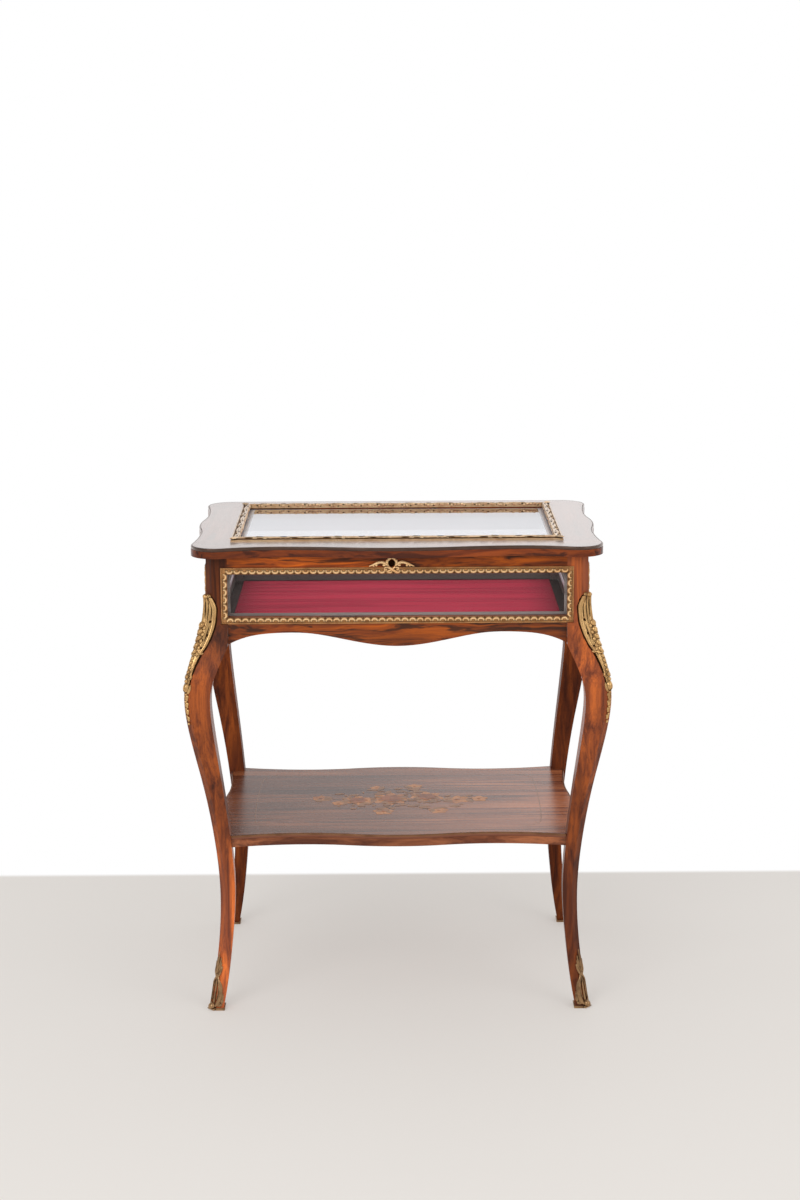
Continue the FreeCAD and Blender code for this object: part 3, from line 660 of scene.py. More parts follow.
class TABLE_OT_stage(bpy.types.Operator):
    """Makes the floor, the even light, the soft lamps and the camera"""
    bl_idname = "display_table.stage"
    bl_label = "Stage"

    # Places and widths of the lamps, the place that they shine at, and the fill's share of the key's power
    key_place = (-1.6, -3.0, 2.6)
    key_width = 2.4
    fill_place = (2.2, -2.2, 1.9)
    fill_width = 2.0
    fill_share = 0.35
    aim = Vector((0, 0, 0.45))
    # The floor's size, its cloudy shade, the light that it gives off and how far its far edge fades
    floor_size = 30
    floor_shade = srgb(228, 222, 215)
    floor_lift = srgb(228, 223, 218)
    floor_fade = 0.01

    def execute(self, context):
        sizes = context.scene.table_stage
        self.floor(sizes, context.scene.table_colours)
        self.sky(context, sizes)
        self.lamp("key_light", self.key_place, self.key_width, sizes.key)
        self.lamp("fill_light", self.fill_place, self.fill_width, sizes.key * self.fill_share)
        camera = added(bpy.ops.object.camera_add, location=(sizes.offset, -sizes.distance, sizes.height),
                       rotation=(math.pi / 2 - sizes.tilt, sizes.roll, sizes.turn))
        camera.data.lens = sizes.lens
        context.scene.camera = camera
        context.scene.view_settings.view_transform = "Standard"
        return {"FINISHED"}

    def floor(self, sizes, colours):
        floor = added(bpy.ops.mesh.primitive_plane_add, size=self.floor_size)
        floor.name = "floor"
        finish = Finish("floor")
        far = finish.along("Y").step(sizes.floor_depth - self.floor_fade, sizes.floor_depth + self.floor_fade)
        seen = finish.seen()
        clouds = finish.noise(finish.place(), 1.4, 3.0)
        finish.feed(base_color=finish.mix(clouds * 0.3, colours.floor, self.floor_shade), roughness=0.6)
        glow = finish.node("ShaderNodeEmission", {}, {"Color": (1, 1, 1, 1), "Strength": 1.0})
        lift = finish.node("ShaderNodeEmission", {}, {"Color": self.floor_lift, "Strength": 1.0})
        matte = Reading(finish, finish.shader.outputs[0])
        lifted = finish.node("ShaderNodeMixShader", {}, {0: seen * 0.45, 1: matte, 2: lift})
        whole = finish.node("ShaderNodeMixShader", {}, {0: far * seen, 1: lifted, 2: glow})
        finish.put(finish.tree.nodes["Material Output"].inputs["Surface"], whole)
        floor.data.materials.append(finish.material)

    def sky(self, context, sizes):
        """White where the camera looks. In reflections the side in front of the table is dimmer."""
        world = context.scene.world or bpy.data.worlds.new("sky")
        context.scene.world = world
        world.use_nodes = True
        nodes = Nodes(world.node_tree)
        ground = world.node_tree.nodes["Background"]
        nodes.put(ground.inputs["Color"], (1, 1, 1))
        way = nodes.node("ShaderNodeTexCoord", out="Generated")
        right, back, up = [nodes.node("ShaderNodeSeparateXYZ", {}, {0: way}, out=axis) for axis in "XYZ"]
        camera = nodes.node("ShaderNodeLightPath", out="Is Camera Ray")
        glossy = nodes.node("ShaderNodeLightPath", out="Is Glossy Ray")
        shadow = (1 - right.step(-0.09, 0.09)) * up.step(0.23, 0.3) * (1 - sizes.dim)
        mirrored_room = back.step(-0.5, 0.3) * (1 - sizes.room) + sizes.room
        lit = glossy * mirrored_room * (1 - shadow) + (1 - glossy) * sizes.sky
        nodes.put(ground.inputs["Strength"], camera + (1 - camera) * lit)

    def lamp(self, name, place, width, power):
        lamp = added(bpy.ops.object.light_add, type="AREA", location=place)
        lamp.name = name
        lamp.data.shape = "DISK"
        lamp.data.size = width
        lamp.data.energy = power
        lamp.rotation_euler = (self.aim - Vector(place)).to_track_quat("-Z", "Y").to_euler()


# Finishes of the nodes whose shape stays


class TABLE_OT_woodwork(bpy.types.Operator):
    """Finishes the legs, rails, aprons, lid frame, shelf and inner woods"""
    bl_idname = "display_table.woodwork"
    bl_label = "Woodwork"

    # Brightness of the woods: up the legs, and along the rails, the aprons, the lid and the shelf
    leg_tones = {
        "front_left": [(0, 2.4), (150, 2.3), (330, 0.9), (470, 1.05), (560, 1.3), (605, 0.55), (730, 0.42)],
        "front_right": [(0, 0.66), (150, 0.7), (330, 0.8), (470, 1.35), (560, 1.7), (605, 1.5), (730, 1.9)],
        "rear_left": [(0, 0.85), (300, 0.95), (730, 0.85)],
        "rear_right": [(0, 0.85), (300, 0.95), (730, 0.85)],
    }
    rail_tones = [(-290, 1.2), (-60, 1.1), (60, 0.7), (290, 0.56)]
    apron_tones = [(-290, 0.86), (-90, 0.9), (0, 0.68), (160, 0.82), (290, 0.62)]
    lid_tones = [(-320, 0.6), (-200, 0.95), (0, 1.0), (200, 1.0), (320, 0.64)]
    shelf_tones = [(-240, 0.85), (0, 1.15), (240, 1.75)]
    # Shine of the legs, and width of the painted highlight line on the glazing beads of the sides
    front_shine = 0.16
    rear_shine = 0.03
    glint_width = 1.1 * MM

    def execute(self, context):
        shades = context.scene.table_colours
        rosewood = (shades.rosewood_light, shades.rosewood_mid, shades.rosewood_dark)
        leg = (shades.leg_light, shades.leg_mid, shades.leg_dark)
        lid = (shades.lid_light, shades.lid_mid, shades.lid_dark)
        shelf = (shades.shelf_light, shades.shelf_mid, shades.shelf_dark)
        for i, (corner, (x, y)) in enumerate(CORNERS.items()):
            shine = self.front_shine if y < 0 else self.rear_shine
            wood = veneer("leg_rosewood_" + corner, 2, leg, shine=shine, streaks=0.5, cloud=(1.4, 36.0),
                          offset=(i, 2 * i, 0), drawn=4.5, tones=("Z", self.leg_tones[corner]),
                          lining=shades.lining, inward=(-x, -y))
            paint_node("leg_" + corner, wood)
        for side, (x, y) in FACINGS.items():
            axis = 0 if y else 1
            inner = {"lining": shades.lining, "inward": (-x, -y)}
            rail = veneer("rail_rosewood_" + side, axis, rosewood, offset=(0, 0, 3),
                          tones=("XY"[axis], self.rail_tones), **inner)
            paint_node("top_rail_" + side, rail)
            apron = veneer("apron_rosewood_" + side, axis, rosewood, shine=0.3, offset=(0, 0, 5),
                           tones=("XY"[axis], self.apron_tones), **inner)
            paint_node("apron_" + side, apron)
            beads = "glazing_beads_" + side
            painted_glint = {}
            # The side beads get a painted highlight along their inner edge
            if x:
                inner_face = min(abs(end.x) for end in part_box(beads))
                painted_glint = {"painted_glint": shades.glass, "edge": inner_face + self.glint_width}
            paint_node(beads, plain_wood("bead_wood_" + side, axis, shades.bead, shades.lining, **painted_glint))
        for node, axis in (("lid_front_rail", 0), ("lid_rear_rail", 0), ("lid_stile_left", 1),
                           ("lid_stile_right", 1)):
            paint_node(node, veneer(node + "_rosewood", axis, lid, 0.16, 1.0, tones=("X", self.lid_tones)))
        paint_node("shelf_panel", veneer("shelf_edge_rosewood", 0, shelf, streaks=0.5))
        paint_node("shelf_veneer", veneer("shelf_rosewood", 0, shelf, 0.2, 0.0, 0.8, 0.5, (2.0, 14.0),
                                          drawn=3.0, tones=("X", self.shelf_tones)))
        paint_node("base_board", plain_wood("board_wood", 0, shades.dark_wood, shades.rosewood_dark))
        paint_node("corner_blocks", plain_wood("block_pine", 0, shades.pine, shades.rosewood_mid))
        paint_node("shelf_dowels", plain_wood("dowel_pine", 2, shades.pine, shades.rosewood_mid))
        return {"FINISHED"}


class TABLE_OT_fittings(bpy.types.Operator):
    """Finishes the hinges, lock, screws, pins and glass"""
    bl_idname = "display_table.fittings"
    bl_label = "Hinges, lock and glass"

    def execute(self, context):
        shades = context.scene.table_colours
        brass = plain_metal("fitting_brass", shades.brass, 0.28, 0)
        steel = plain_metal("fitting_steel", shades.steel, 0.3, 0)
        for node in ("hinge_case_leaf_left", "hinge_lid_leaf_left", "hinge_case_leaf_right",
                     "hinge_lid_leaf_right", "hinge_pins", "case_screws", "lid_screws", "strike_plate",
                     "mount_pins", "lock_body"):
            paint_node(node, brass)
        paint_node("lock_bolt", steel)
        glass = pane_glass("plate_glass", shades.glass, 3.0)
        for side in FACINGS:
            paint_node("pane_" + side, glass)
        paint_node("lid_pane", pane_glass("lid_glass", shades.glass, 1.8, 0.6))
        gilding("gilding", shades.gilt, shades.gilt_worn, shades.gilt_recess_shade, 0.6)
        gilding("gilding_knee", shades.knee, shades.knee_worn, shades.gilt_recess_shade)
        gilding("gilding_shoe", shades.shoe, shades.shoe_worn, shades.gilt_recess_shade)
        gilding("gilding_frame", shades.frame_gilt, shades.frame_worn, shades.frame_recess_shade, bare=0.15)
        gilding("gilding_frame_ground", shades.frame_ground, shades.frame_shade, shades.gilt_recess_shade)
        # Flat dark gilt for the pieces of painted shade: pierced spots, grooves, deep-cut places, the shadow
        # round the knee plates and the keyhole
        plain_metal("gilding_painted_shade", shades.gilt_recess_shade, 0.7)
        # Dark gilt for the painted shade in sunk places
        plain_metal("gilding_pit_shade", shades.pit_shade, 0.6)
        return {"FINISHED"}


def paint_node(node, material):
    paint(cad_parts[node].data, material)


# Gilt mouldings


def traced(node):
    """A loose copy of a CAD node's mesh, merged."""
    copy = bpy.data.objects.new(node + "_copy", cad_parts[node].data.copy())
    bpy.context.scene.collection.objects.link(copy)
    close_up(copy)
    return copy


def mitred_strip(length, profile):
    """A straight run with mitred ends: profile gives its section, inward of the outer edge and proud."""
    strip = added(bpy.ops.mesh.primitive_circle_add, vertices=len(profile), fill_type="NGON")
    for vertex, (inward, proud) in zip(strip.data.vertices, profile):
        vertex.co = mm(inward - length / MM / 2, inward, proud)
    edit(strip, (bpy.ops.mesh.extrude_region_move, {}))
    for vertex in strip.data.vertices:
        if vertex.select:
            vertex.co.x = length / 2 - vertex.co.y
    close_up(strip)
    return strip


def row(unit, pitch, count):
    """Copies a unit along a run, evenly about its middle."""
    modify(unit, "ARRAY", count=count, use_relative_offset=False, use_constant_offset=True,
           constant_offset_displace=(pitch, 0, 0))
    return moved(unit, shift(-pitch * (count - 1) / 2))


def fitted_row(unit, length, pitch):
    """A row whose pitch is eased so that a whole number of units fills the length."""
    count = max(1, round(length / pitch))
    return row(unit, length / count, count)


def framed(width, height, make_run):
    """Four runs round a rectangle, each made lying along X and turned to its side."""
    runs = []
    for quarter in range(4):
        upright = quarter % 2
        length, half = (height, width / 2) if upright else (width, height / 2)
        runs.append(moved(make_run(length), turn(quarter * math.pi / 2), shift(0, -half)))
    return runs


def corner_leaves(width, height, make_leaf):
    """A leaf from each outer corner of a rectangle towards its middle."""
    leaves = []
    for x, y in CORNERS.values():
        lean = math.atan2(-y, -x) - math.pi / 2
        leaves.append(moved(make_leaf(), shift(x * width / 2, y * height / 2), turn(lean)))
    return leaves


def facing_frame(origin, normal):
    """Places a flat pattern in the table: X to the right, Y up and Z along the normal."""
    place = Matrix((UP.cross(normal), UP, normal)).transposed().to_4x4()
    place.translation = origin
    return place


class TABLE_OT_window_mouldings(bpy.types.Operator):
    """Models the four gilt egg-and-dart frames round the windows"""
    bl_idname = "display_table.window_mouldings"
    bl_label = "Window mouldings"

    ground = [(0, 0), (0, 2.2), (2.2, 2.6), (2.9, 1.7), (8.8, 1.5), (9.4, 2.0), (10, 1.6), (10, 0)]
    # Lengths that the eggs and the pearls leave free at the mitres
    egg_free = 16 * MM
    pearl_free = 4 * MM

    def execute(self, context):
        sizes = context.scene.table_gilt
        for side, (x, y) in FACINGS.items():
            node = "window_moulding_" + side
            low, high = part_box(node)
            normal = Vector((x, y, 0))
            span = high - low
            width = abs(UP.cross(normal).dot(span))
            seat = (low + high) / 2 - normal * abs(normal.dot(span)) / 2
            pieces = framed(width, span.z, lambda length: self.run(length, sizes))
            moulding = moved(joined(pieces), facing_frame(seat, normal))
            finished(moulding, "egg_moulding_" + side, "case")
            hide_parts(node)
        return {"FINISHED"}

    def run(self, length, sizes):
        strip = dressed(mitred_strip(length, self.ground), "gilding_frame_ground")
        eggs = fitted_row(self.egg_and_dart(sizes.egg_pitch), length - self.egg_free, sizes.egg_pitch)
        pearl = ball(mm(0, 1.4, 1.9), (1.3,) * 3, 6, 4)
        pearls = fitted_row(pearl, length - self.pearl_free, sizes.pearl_pitch)
        return joined([strip, eggs, dressed(pearls, "gilding_frame_ground")])

    def egg_and_dart(self, pitch):
        """A deep egg in a bright cup that opens outwards, a dart beside it and a notch under the dart. The
        cup and the dart are in the brighter frame gilt, which also paints the highlights that they catch; the
        notch is painted shade.
        """
        beside = pitch / 2 / MM
        bend = [(4.3 * math.cos(turned), 5.0 + 3.0 * math.sin(turned))
                for turned in even(-0.14 * math.pi, 1.14 * math.pi, 7)]
        cup = strand(bend, (0.8, 1.2, 1.6, 1.8, 1.6, 1.2, 0.8), 2.5, 1, 2)
        dart = ball(mm(beside, 5.2, 1.8), (0.8, 2.4, 1.6), 6, 4)
        egg = ball(mm(0, 4.8, 1.6), (2.9, 1.7, 0.9), 10, 5)
        notch = ball(mm(beside, 9.2, 1.7), (1.5, 0.9, 0.7), 6, 4)
        # Painted highlight on the cup and dart, painted shade in the notch
        bright = dressed(joined([cup, dart]), "gilding_frame")
        return joined([bright, dressed(egg, "gilding_frame_ground"), dressed(notch, "gilding_pit_shade")])


class TABLE_OT_lid_moulding(bpy.types.Operator):
    """Models the gilt foliate frame round the lid's glass"""
    bl_idname = "display_table.lid_moulding"
    bl_label = "Lid moulding"

    fillet = [(0.4, -0.2), (0.4, 1.9), (0.9, 2.4), (2.4, 2.4), (3.2, 1.6), (3.2, -0.2)]
    # The second profile is a dark strip of painted shade between the fillet and the slope
    quirk_shade = [(3.1, 1.4), (3.1, 2.1), (5.0, 2.9), (6.5, 3.9), (6.5, 3.3), (5.0, 2.2)]
    bed = [(3.0, -0.2), (3.0, 1.8), (5.0, 2.6), (8.6, 5.0), (12.2, 5.6), (13.0, 5.0), (13.2, -1.6),
           (11.4, -1.6), (11.4, -0.2)]
    # Long dark cuts of painted shade between the leaves: share of the pitch, and millimetres inward and proud
    long_cuts = [(-0.42, 8.0, 4.7), (-0.27, 10.6, 5.6), (-0.1, 8.2, 4.8), (0.06, 10.2, 5.5), (0.2, 7.8, 4.6),
                 (0.36, 9.8, 5.4)]
    # Length that the leaves leave free at the mitres
    leaf_free = 30 * MM

    def execute(self, context):
        self.pick = random.Random(4).uniform
        sizes = context.scene.table_gilt
        low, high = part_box("lid_moulding")
        seat = (low + high) / 2
        seat.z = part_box("lid_edge_band")[1].z
        width = high.x - low.x
        depth = high.y - low.y
        pieces = framed(width, depth, lambda length: self.run(length, sizes.leaf_pitch))
        pieces += corner_leaves(width, depth, self.corner_leaf)
        moulding = moved(joined(pieces), Matrix.Translation(seat))
        finished(moulding, "foliate_moulding", "lid")
        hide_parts("lid_moulding")
        return {"FINISHED"}

    def run(self, length, pitch):
        bed = dressed(mitred_strip(length, self.bed), "gilding")
        spray = dressed(joined(self.spray(pitch / MM)), "gilding")
        cuts = dressed(joined(self.cuts(pitch / MM)), "gilding_painted_shade")
        leaves = fitted_row(joined([spray, cuts]), length - self.leaf_free, pitch)
        fillet = dressed(mitred_strip(length, self.fillet), "gilding")
        quirk_shade = dressed(mitred_strip(length, self.quirk_shade), "gilding_pit_shade")
        return joined([bed, leaves, fillet, quirk_shade])

    def spray(self, pitch):
        """Lobed leaves along the slope, small leaves across it and curls over the inner edge."""
        parts = []
        for place, share in ((0.02, 0.4), (0.46, 0.28)):
            along = leaf(share * pitch, 4.2, 2.0, 4, 0.8, 16, 6)
            parts.append(moved(along, shift_mm(place * pitch, 9.0, 4.0), turn(math.pi / 2)))
        for place in even(-0.46, 0.46, 13):
            length = self.pick(6.0, 11.0)
            across = leaf(length, self.pick(1.6, 3.4), 1.4, 2, self.pick(1.4, 2.8), 6, 4)
            spot = shift_mm((place + self.pick(-0.03, 0.03)) * pitch, 13.6 - length, 3.4)
            parts.append(moved(across, spot, turn(self.pick(-0.22, 0.22) * math.pi)))
        for place in even(-0.48, 0.48, 19):
            curl = mm(place * pitch + self.pick(-2.0, 2.0), self.pick(12.0, 13.6), self.pick(1.6, 4.0))
            parts.append(ball(curl, (self.pick(1.6, 3.6), 1.5, 2.6), 8, 5))
        return parts

    def cuts(self, pitch):
        """Painted shade in the deep-cut places: long dark ones between the leaves and small ones between the
        curls.
        """
        parts = []
        for place, inward, proud in self.long_cuts:
            radii = (self.pick(4.0, 9.0), self.pick(0.7, 1.3), 0.5)
            parts.append(ball(mm(place * pitch, inward, proud), radii, 10, 5, self.pick(-0.14, 0.14)))
        for place in even(-0.47, 0.47, 9):
            spot = mm(place * pitch + self.pick(-3.0, 3.0), 13.5, self.pick(0.8, 4.4))
            parts.append(ball(spot, (self.pick(0.9, 2.2), 0.8, 0.8), 8, 5))
        return parts

    def corner_leaf(self):
        return dressed(moved(leaf(20, 5.0, 2.0, 4, -1.0), shift_mm(0, 0, 4.6)), "gilding")


# Gilt mounts on the legs


# How far outside a leg the rays start that find its surface, how far the lowest stays above its sole,
# and how often one that misses is pulled in by a millimetre
RAY_START = 0.2
RAY_LOWEST = 0.5 * MM
RAY_PULLS = 6


def post_corner(corner):
    """Outer corner of a leg's post, on the floor."""
    x, y = CORNERS[corner]
    return Vector((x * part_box("top_rail_right")[1].x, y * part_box("top_rail_rear")[1].y, 0))


def wrapped(pattern, corner):
    """Lays a flat pattern on a leg: X across its corner, Y up the leg, Z out of the wood.

    What reaches past the leg's far edges runs straight on from there. The pattern itself is left as it is.
    """
    pattern = copied(pattern)
    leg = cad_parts["leg_" + corner]
    outward = Vector((*CORNERS[corner], 0)).normalized()
    across = Vector((-outward.y, outward.x, 0))
    reach = post_corner(corner) + outward * RAY_START
    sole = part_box("leg_" + corner)[0].z + RAY_LOWEST
    for vertex in pattern.data.vertices:
        side, height, proud = vertex.co
        for pull in range(RAY_PULLS):
            held = math.copysign(max(0.0, abs(side) - pull * MM), side)
            start = reach + across * held + Vector((0, 0, max(sole, height)))
            hit, spot, normal, face = leg.ray_cast(start, -outward)
            if hit:
                break
        if not hit:
            raise ValueError("the pattern misses the leg at %s" % vertex.co)
        vertex.co = spot + outward * proud + across * (side - held)
        vertex.co.z = height
    close_up(pattern)
    return pattern


def between(stations, place):
    """Value at a place between stations of (place, value), eased from each to the next."""
    for (start, first), (end, second) in zip(stations, stations[1:]):
        if place <= end:
            share = max(0.0, (place - start) / (end - start))
            return first + (second - first) * share * share * (3 - 2 * share)
    return stations[-1][1]


class TABLE_OT_knee_mounts(bpy.types.Operator):
    """Models the gilt mounts that run down the knees of the legs"""
    bl_idname = "display_table.knee_mounts"
    bl_label = "Knee mounts"

    outline = [(0.0, 2.0), (0.03, 5.0), (0.07, 8.2), (0.13, 11.0), (0.25, 12.5), (0.34, 12.0), (0.4, 10.5),
               (0.46, 7.5), (0.5, 6.5), (0.56, 5.2), (0.62, 4.0), (0.68, 3.4)]
    spine = [(0.0, 1.0), (0.12, 1.0), (0.28, 0.9), (0.38, 0.66), (0.46, 0.5), (0.68, 0.42)]

    def execute(self, context):
        low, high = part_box("knee_mount_front_left")
        self.top = high.z
        self.length = self.top - low.z
        self.relief = context.scene.table_gilt.knee_relief / MM
        raised = joined(self.cartouche() + self.rolled_top() + self.stem() + self.bud() + self.husks())
        # The dark pieces are painted shade: pierced spots, grooves and the shadow round the plates, which
        # also shows the joint
        dark = mirrored(self.shaded_holes() + self.grooves()) + [self.shadow_backing(0.03, 0.45), self.shadow_backing(0.46, 0.68)]
        shaded_holes = dressed(joined(dark), "gilding_painted_shade")
        pattern = joined([dressed(raised, "gilding_knee"), shaded_holes])
        for corner in CORNERS:
            mount = wrapped(pattern, corner)
            finished(mount, "acanthus_mount_" + corner, "case", 55)
            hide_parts("knee_mount_" + corner)
        remove(pattern)
        return {"FINISHED"}

    def at(self, side, share, proud):
        """Point of the pattern: millimetres to the side, share of the way down, millimetres proud."""
        return Vector((side * MM, self.top - share * self.length, proud * MM))

    def dish(self, share, across):
        """Height of the plate: a crest along the leg's corner, a fluted hollow and a lifted edge."""
        crest = between(self.spine, share) * self.relief * (1 - abs(across)) ** 1.5
        flutes = 0.95 * math.cos(7 * math.pi * across) * (1 - between([(0.1, 0), (0.3, 1)], share))
        return 1.5 + crest + flutes * (1 - across ** 4) + 0.8 * across ** 4

    def sheet(self, start, end, margin, height, *settings):
        """A sheet of the mount's outline and a margin. Height tells how far it stands out."""
        def shape(along, across):
            share = end + (start - end) * along
            return self.at(across * (between(self.outline, share) + margin), share, height(share, across))
        return blade(shape, *settings)

    def plate(self, start, end, rows):
        return self.sheet(start, end, 0, self.dish, rows, 28, 1.4)

    def shadow_backing(self, start, end):
        """The dark joint between a plate and the wood, with the painted shadow that the plate casts on the
        wood, all round it.
        """
        return self.sheet(start, end, 2.6, lambda share, across: 0.9, 24, 16, 0.5)

    def cartouche(self):
        """The hollow plate between smooth C-scroll rims, with crimped lobes down the leg's corner."""
        rim = [self.at(between(self.outline, share), share, 2.4) for share in even(0.04, 0.44, 12)]
        rims = [rib(rim, even(2.3, 1.4, 12)), ball(self.at(9.6, 0.447, 2.4), (2.2, 1.8, 1.8))]
        seam = [self.at(*point) for point in ((-9, 0.446, 2.4), (-4.5, 0.452, 4.6), (0, 0.456, 6.6),
                                              (4.5, 0.452, 4.6), (9, 0.446, 2.4))]
        parts = [self.plate(0.012, 0.448, 34), rib(seam, [1.3] * 5)]
        for i in range(5):
            share = 0.235 + 0.048 * i
            crest = self.dish(share, 0)
            parts.append(ball(self.at(0, share, crest - 1.8), (5.2 - 0.4 * i, 4.9, 4.2)))
            rims.append(ball(self.at(4.6, share + 0.02, 0.6 * crest), (2.4, 3.6, 2.2), lean=0.5))
        return parts + mirrored(rims)

    def rolled_top(self):
        """The plate's tip, rolled outwards at the leg's corner, with a small lobe on each face."""
        roll = [self.at(side, 0.024, self.relief - 1.6) for side in (-4.4, -2.2, 0, 2.2, 4.4)]
        lobe = ball(self.at(5.6, 0.046, 3.4), (2.0, 3.0, 2.2))
        return [rib(roll, (1.6, 3.4, 4.4, 3.4, 1.6), 4)] + mirrored([lobe])

    def stem(self):
        """The narrow leaf under the seam, toothed along the corner, with a curled tip to each side."""
        parts = [self.plate(0.46, 0.68, 24)]
        for i in range(6):
            share = 0.478 + 0.034 * i
            parts.append(ball(self.at(0, share, self.dish(share, 0) - 0.6), (3.0, 3.0, 2.6), 10, 6))
        edge = [self.at(between(self.outline, share) - 0.4, share, 2.0) for share in even(0.465, 0.6, 6)]
        edge += [self.at(6.4, 0.622, 2.2), self.at(5.2, 0.636, 2.6)]
        return parts + mirrored([rib(edge, (1.0, 1.1, 1.2, 1.2, 1.3, 1.6, 1.8, 0.9))])

    def bud(self):
        """The round bud at the widest place of the knee, in a cup of two leaves."""
        bud = ball(self.at(0, 0.7, 2.4), (5.4, 8.0, self.relief - 4.5), 14, 8)
        place = Matrix.Translation(self.at(1.0, 0.752, 0.8))
        return [bud] + mirrored([moved(leaf(17, 3.6, 2.6, 0, 0.8), place, turn(-0.12 * math.pi))])

    def husks(self):
        """The chain of bell husks down the shin, and the bead that ends it."""
        parts = [ball(self.at(0, 0.988, 1.4), (2.2, 2.4, 2.0), 10, 6)]
        for i in range(4):
            share = 0.75 + 0.058 * i
            grow = 1 - 0.09 * i
            bell = leaf(14 * grow, 4.4 * grow, 3.6 * grow, 2, 0.6, 10)
            parts.append(moved(bell, Matrix.Translation(self.at(0, share, 0.6)), turn(math.pi)))
            parts.append(ball(self.at(0, share, 2.0), (2.8 * grow, 2.4 * grow, 2.4 * grow), 10, 6))
        return parts

    def shaded_holes(self):
        """Dark spots of painted shade where the hollow is pierced."""
        parts = []
        for side, share, width in ((8.4, 0.215, 1.9), (9.4, 0.315, 1.6), (6.0, 0.35, 1.6), (8.6, 0.12, 1.2),
                                   (5.2, 0.262, 1.3), (7.0, 0.405, 1.4)):
            proud = self.dish(share, side / between(self.outline, share)) + 0.1
            parts.append(ball(self.at(side, share, proud), (width, 1.2 * width, 0.6), 10, 6))
        return parts

    def grooves(self):
        """Dark cuts of painted shade between the plate's flutes and leaf ribs."""
        parts = []
        for across, start, end in ((0.26, 0.06, 0.19), (0.5, 0.05, 0.24), (0.74, 0.08, 0.2),
                                   (0.45, 0.28, 0.4), (0.72, 0.25, 0.36)):
            cut = [self.at(across * between(self.outline, share), share, self.dish(share, across) + 0.1)
                   for share in even(start, end, 6)]
            parts.append(rib(cut, (0.2, 0.5, 0.6, 0.6, 0.5, 0.2), 1))
        return parts


class TABLE_OT_sabots(bpy.types.Operator):
    """Models the gilt scroll shoes of the feet"""
    bl_idname = "display_table.sabots"
    bl_label = "Sabots"

    # Height of the plain sole under the scrolls
    shoe_height = 3.6

    def execute(self, context):
        pattern = joined(self.loops() + self.leafage())
        for corner in CORNERS:
            shoe = traced("sabot_" + corner)
            edit(shoe, (bpy.ops.mesh.bisect, {"plane_co": (0, 0, self.shoe_height * MM),
                                              "plane_no": (0, 0, 1), "clear_outer": True,
                                              "use_fill": True}))
            bevelled(shoe, 0.8, 2, 40)
            sabot = dressed(joined([shoe, wrapped(pattern, corner)]), "gilding_shoe")
            finished(sabot, "scroll_sabot_" + corner, "case", 50)
            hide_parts("sabot_" + corner)
        remove(pattern)
        return {"FINISHED"}

    def loops(self):
        """On each face an open teardrop of two bands that rises from a rolled toe."""
        outer = strand([(1.2, 54), (4.6, 47), (8.0, 39), (9.4, 30), (9.2, 20), (7.8, 11), (4, 6), (0, 5)],
                       (1.4, 1.9, 2.0, 2.0, 2.0, 2.2, 2.4, 2.4), 1.6)
        inner = strand([(1.8, 46), (4.8, 40), (6.0, 31), (5.8, 22), (4.2, 15)],
                       (0.7, 1.0, 1.1, 1.0, 0.7), 1.0)
        curl = volute(mm(10.6, 8.5, 1.6), 2.8, 1.2, 1.2, 1.6, 1)
        back_leaf = moved(leaf(18, 1.6, 1.6, 2, 0.4), shift_mm(11.6, 9, 0.4))
        corner_bar = strand([(0, 5), (0, 18), (0, 32), (0, 46), (0, 58)], (2.6, 1.8, 1.5, 1.8, 2.0), 1.2)
        toe = ball(mm(0, 7, 5.2), (5.8, 5.6, 5.6))
        return [corner_bar, toe] + mirrored([outer, inner, back_leaf] + curl)

    def leafage(self):
        """Three S-shaped leaf bands above each loop, and the free spike at the corner."""
        bands = []
        for start, reach in ((50, 7.2), (56.5, 5.8), (63, 4.0)):
            points = [(0.8, start), (0.45 * reach, start + 5), (0.9 * reach, start + 12), (reach, start + 20)]
            bands.append(strand(points, (1.5, 1.9, 1.6, 0.7), 1.5))
        spike = strand([(0, 58), (0, 70), (0, 82), (0, 93)], (2.2, 2.2, 1.6, 0.4), 2.6)
        return [spike] + mirrored(bands)


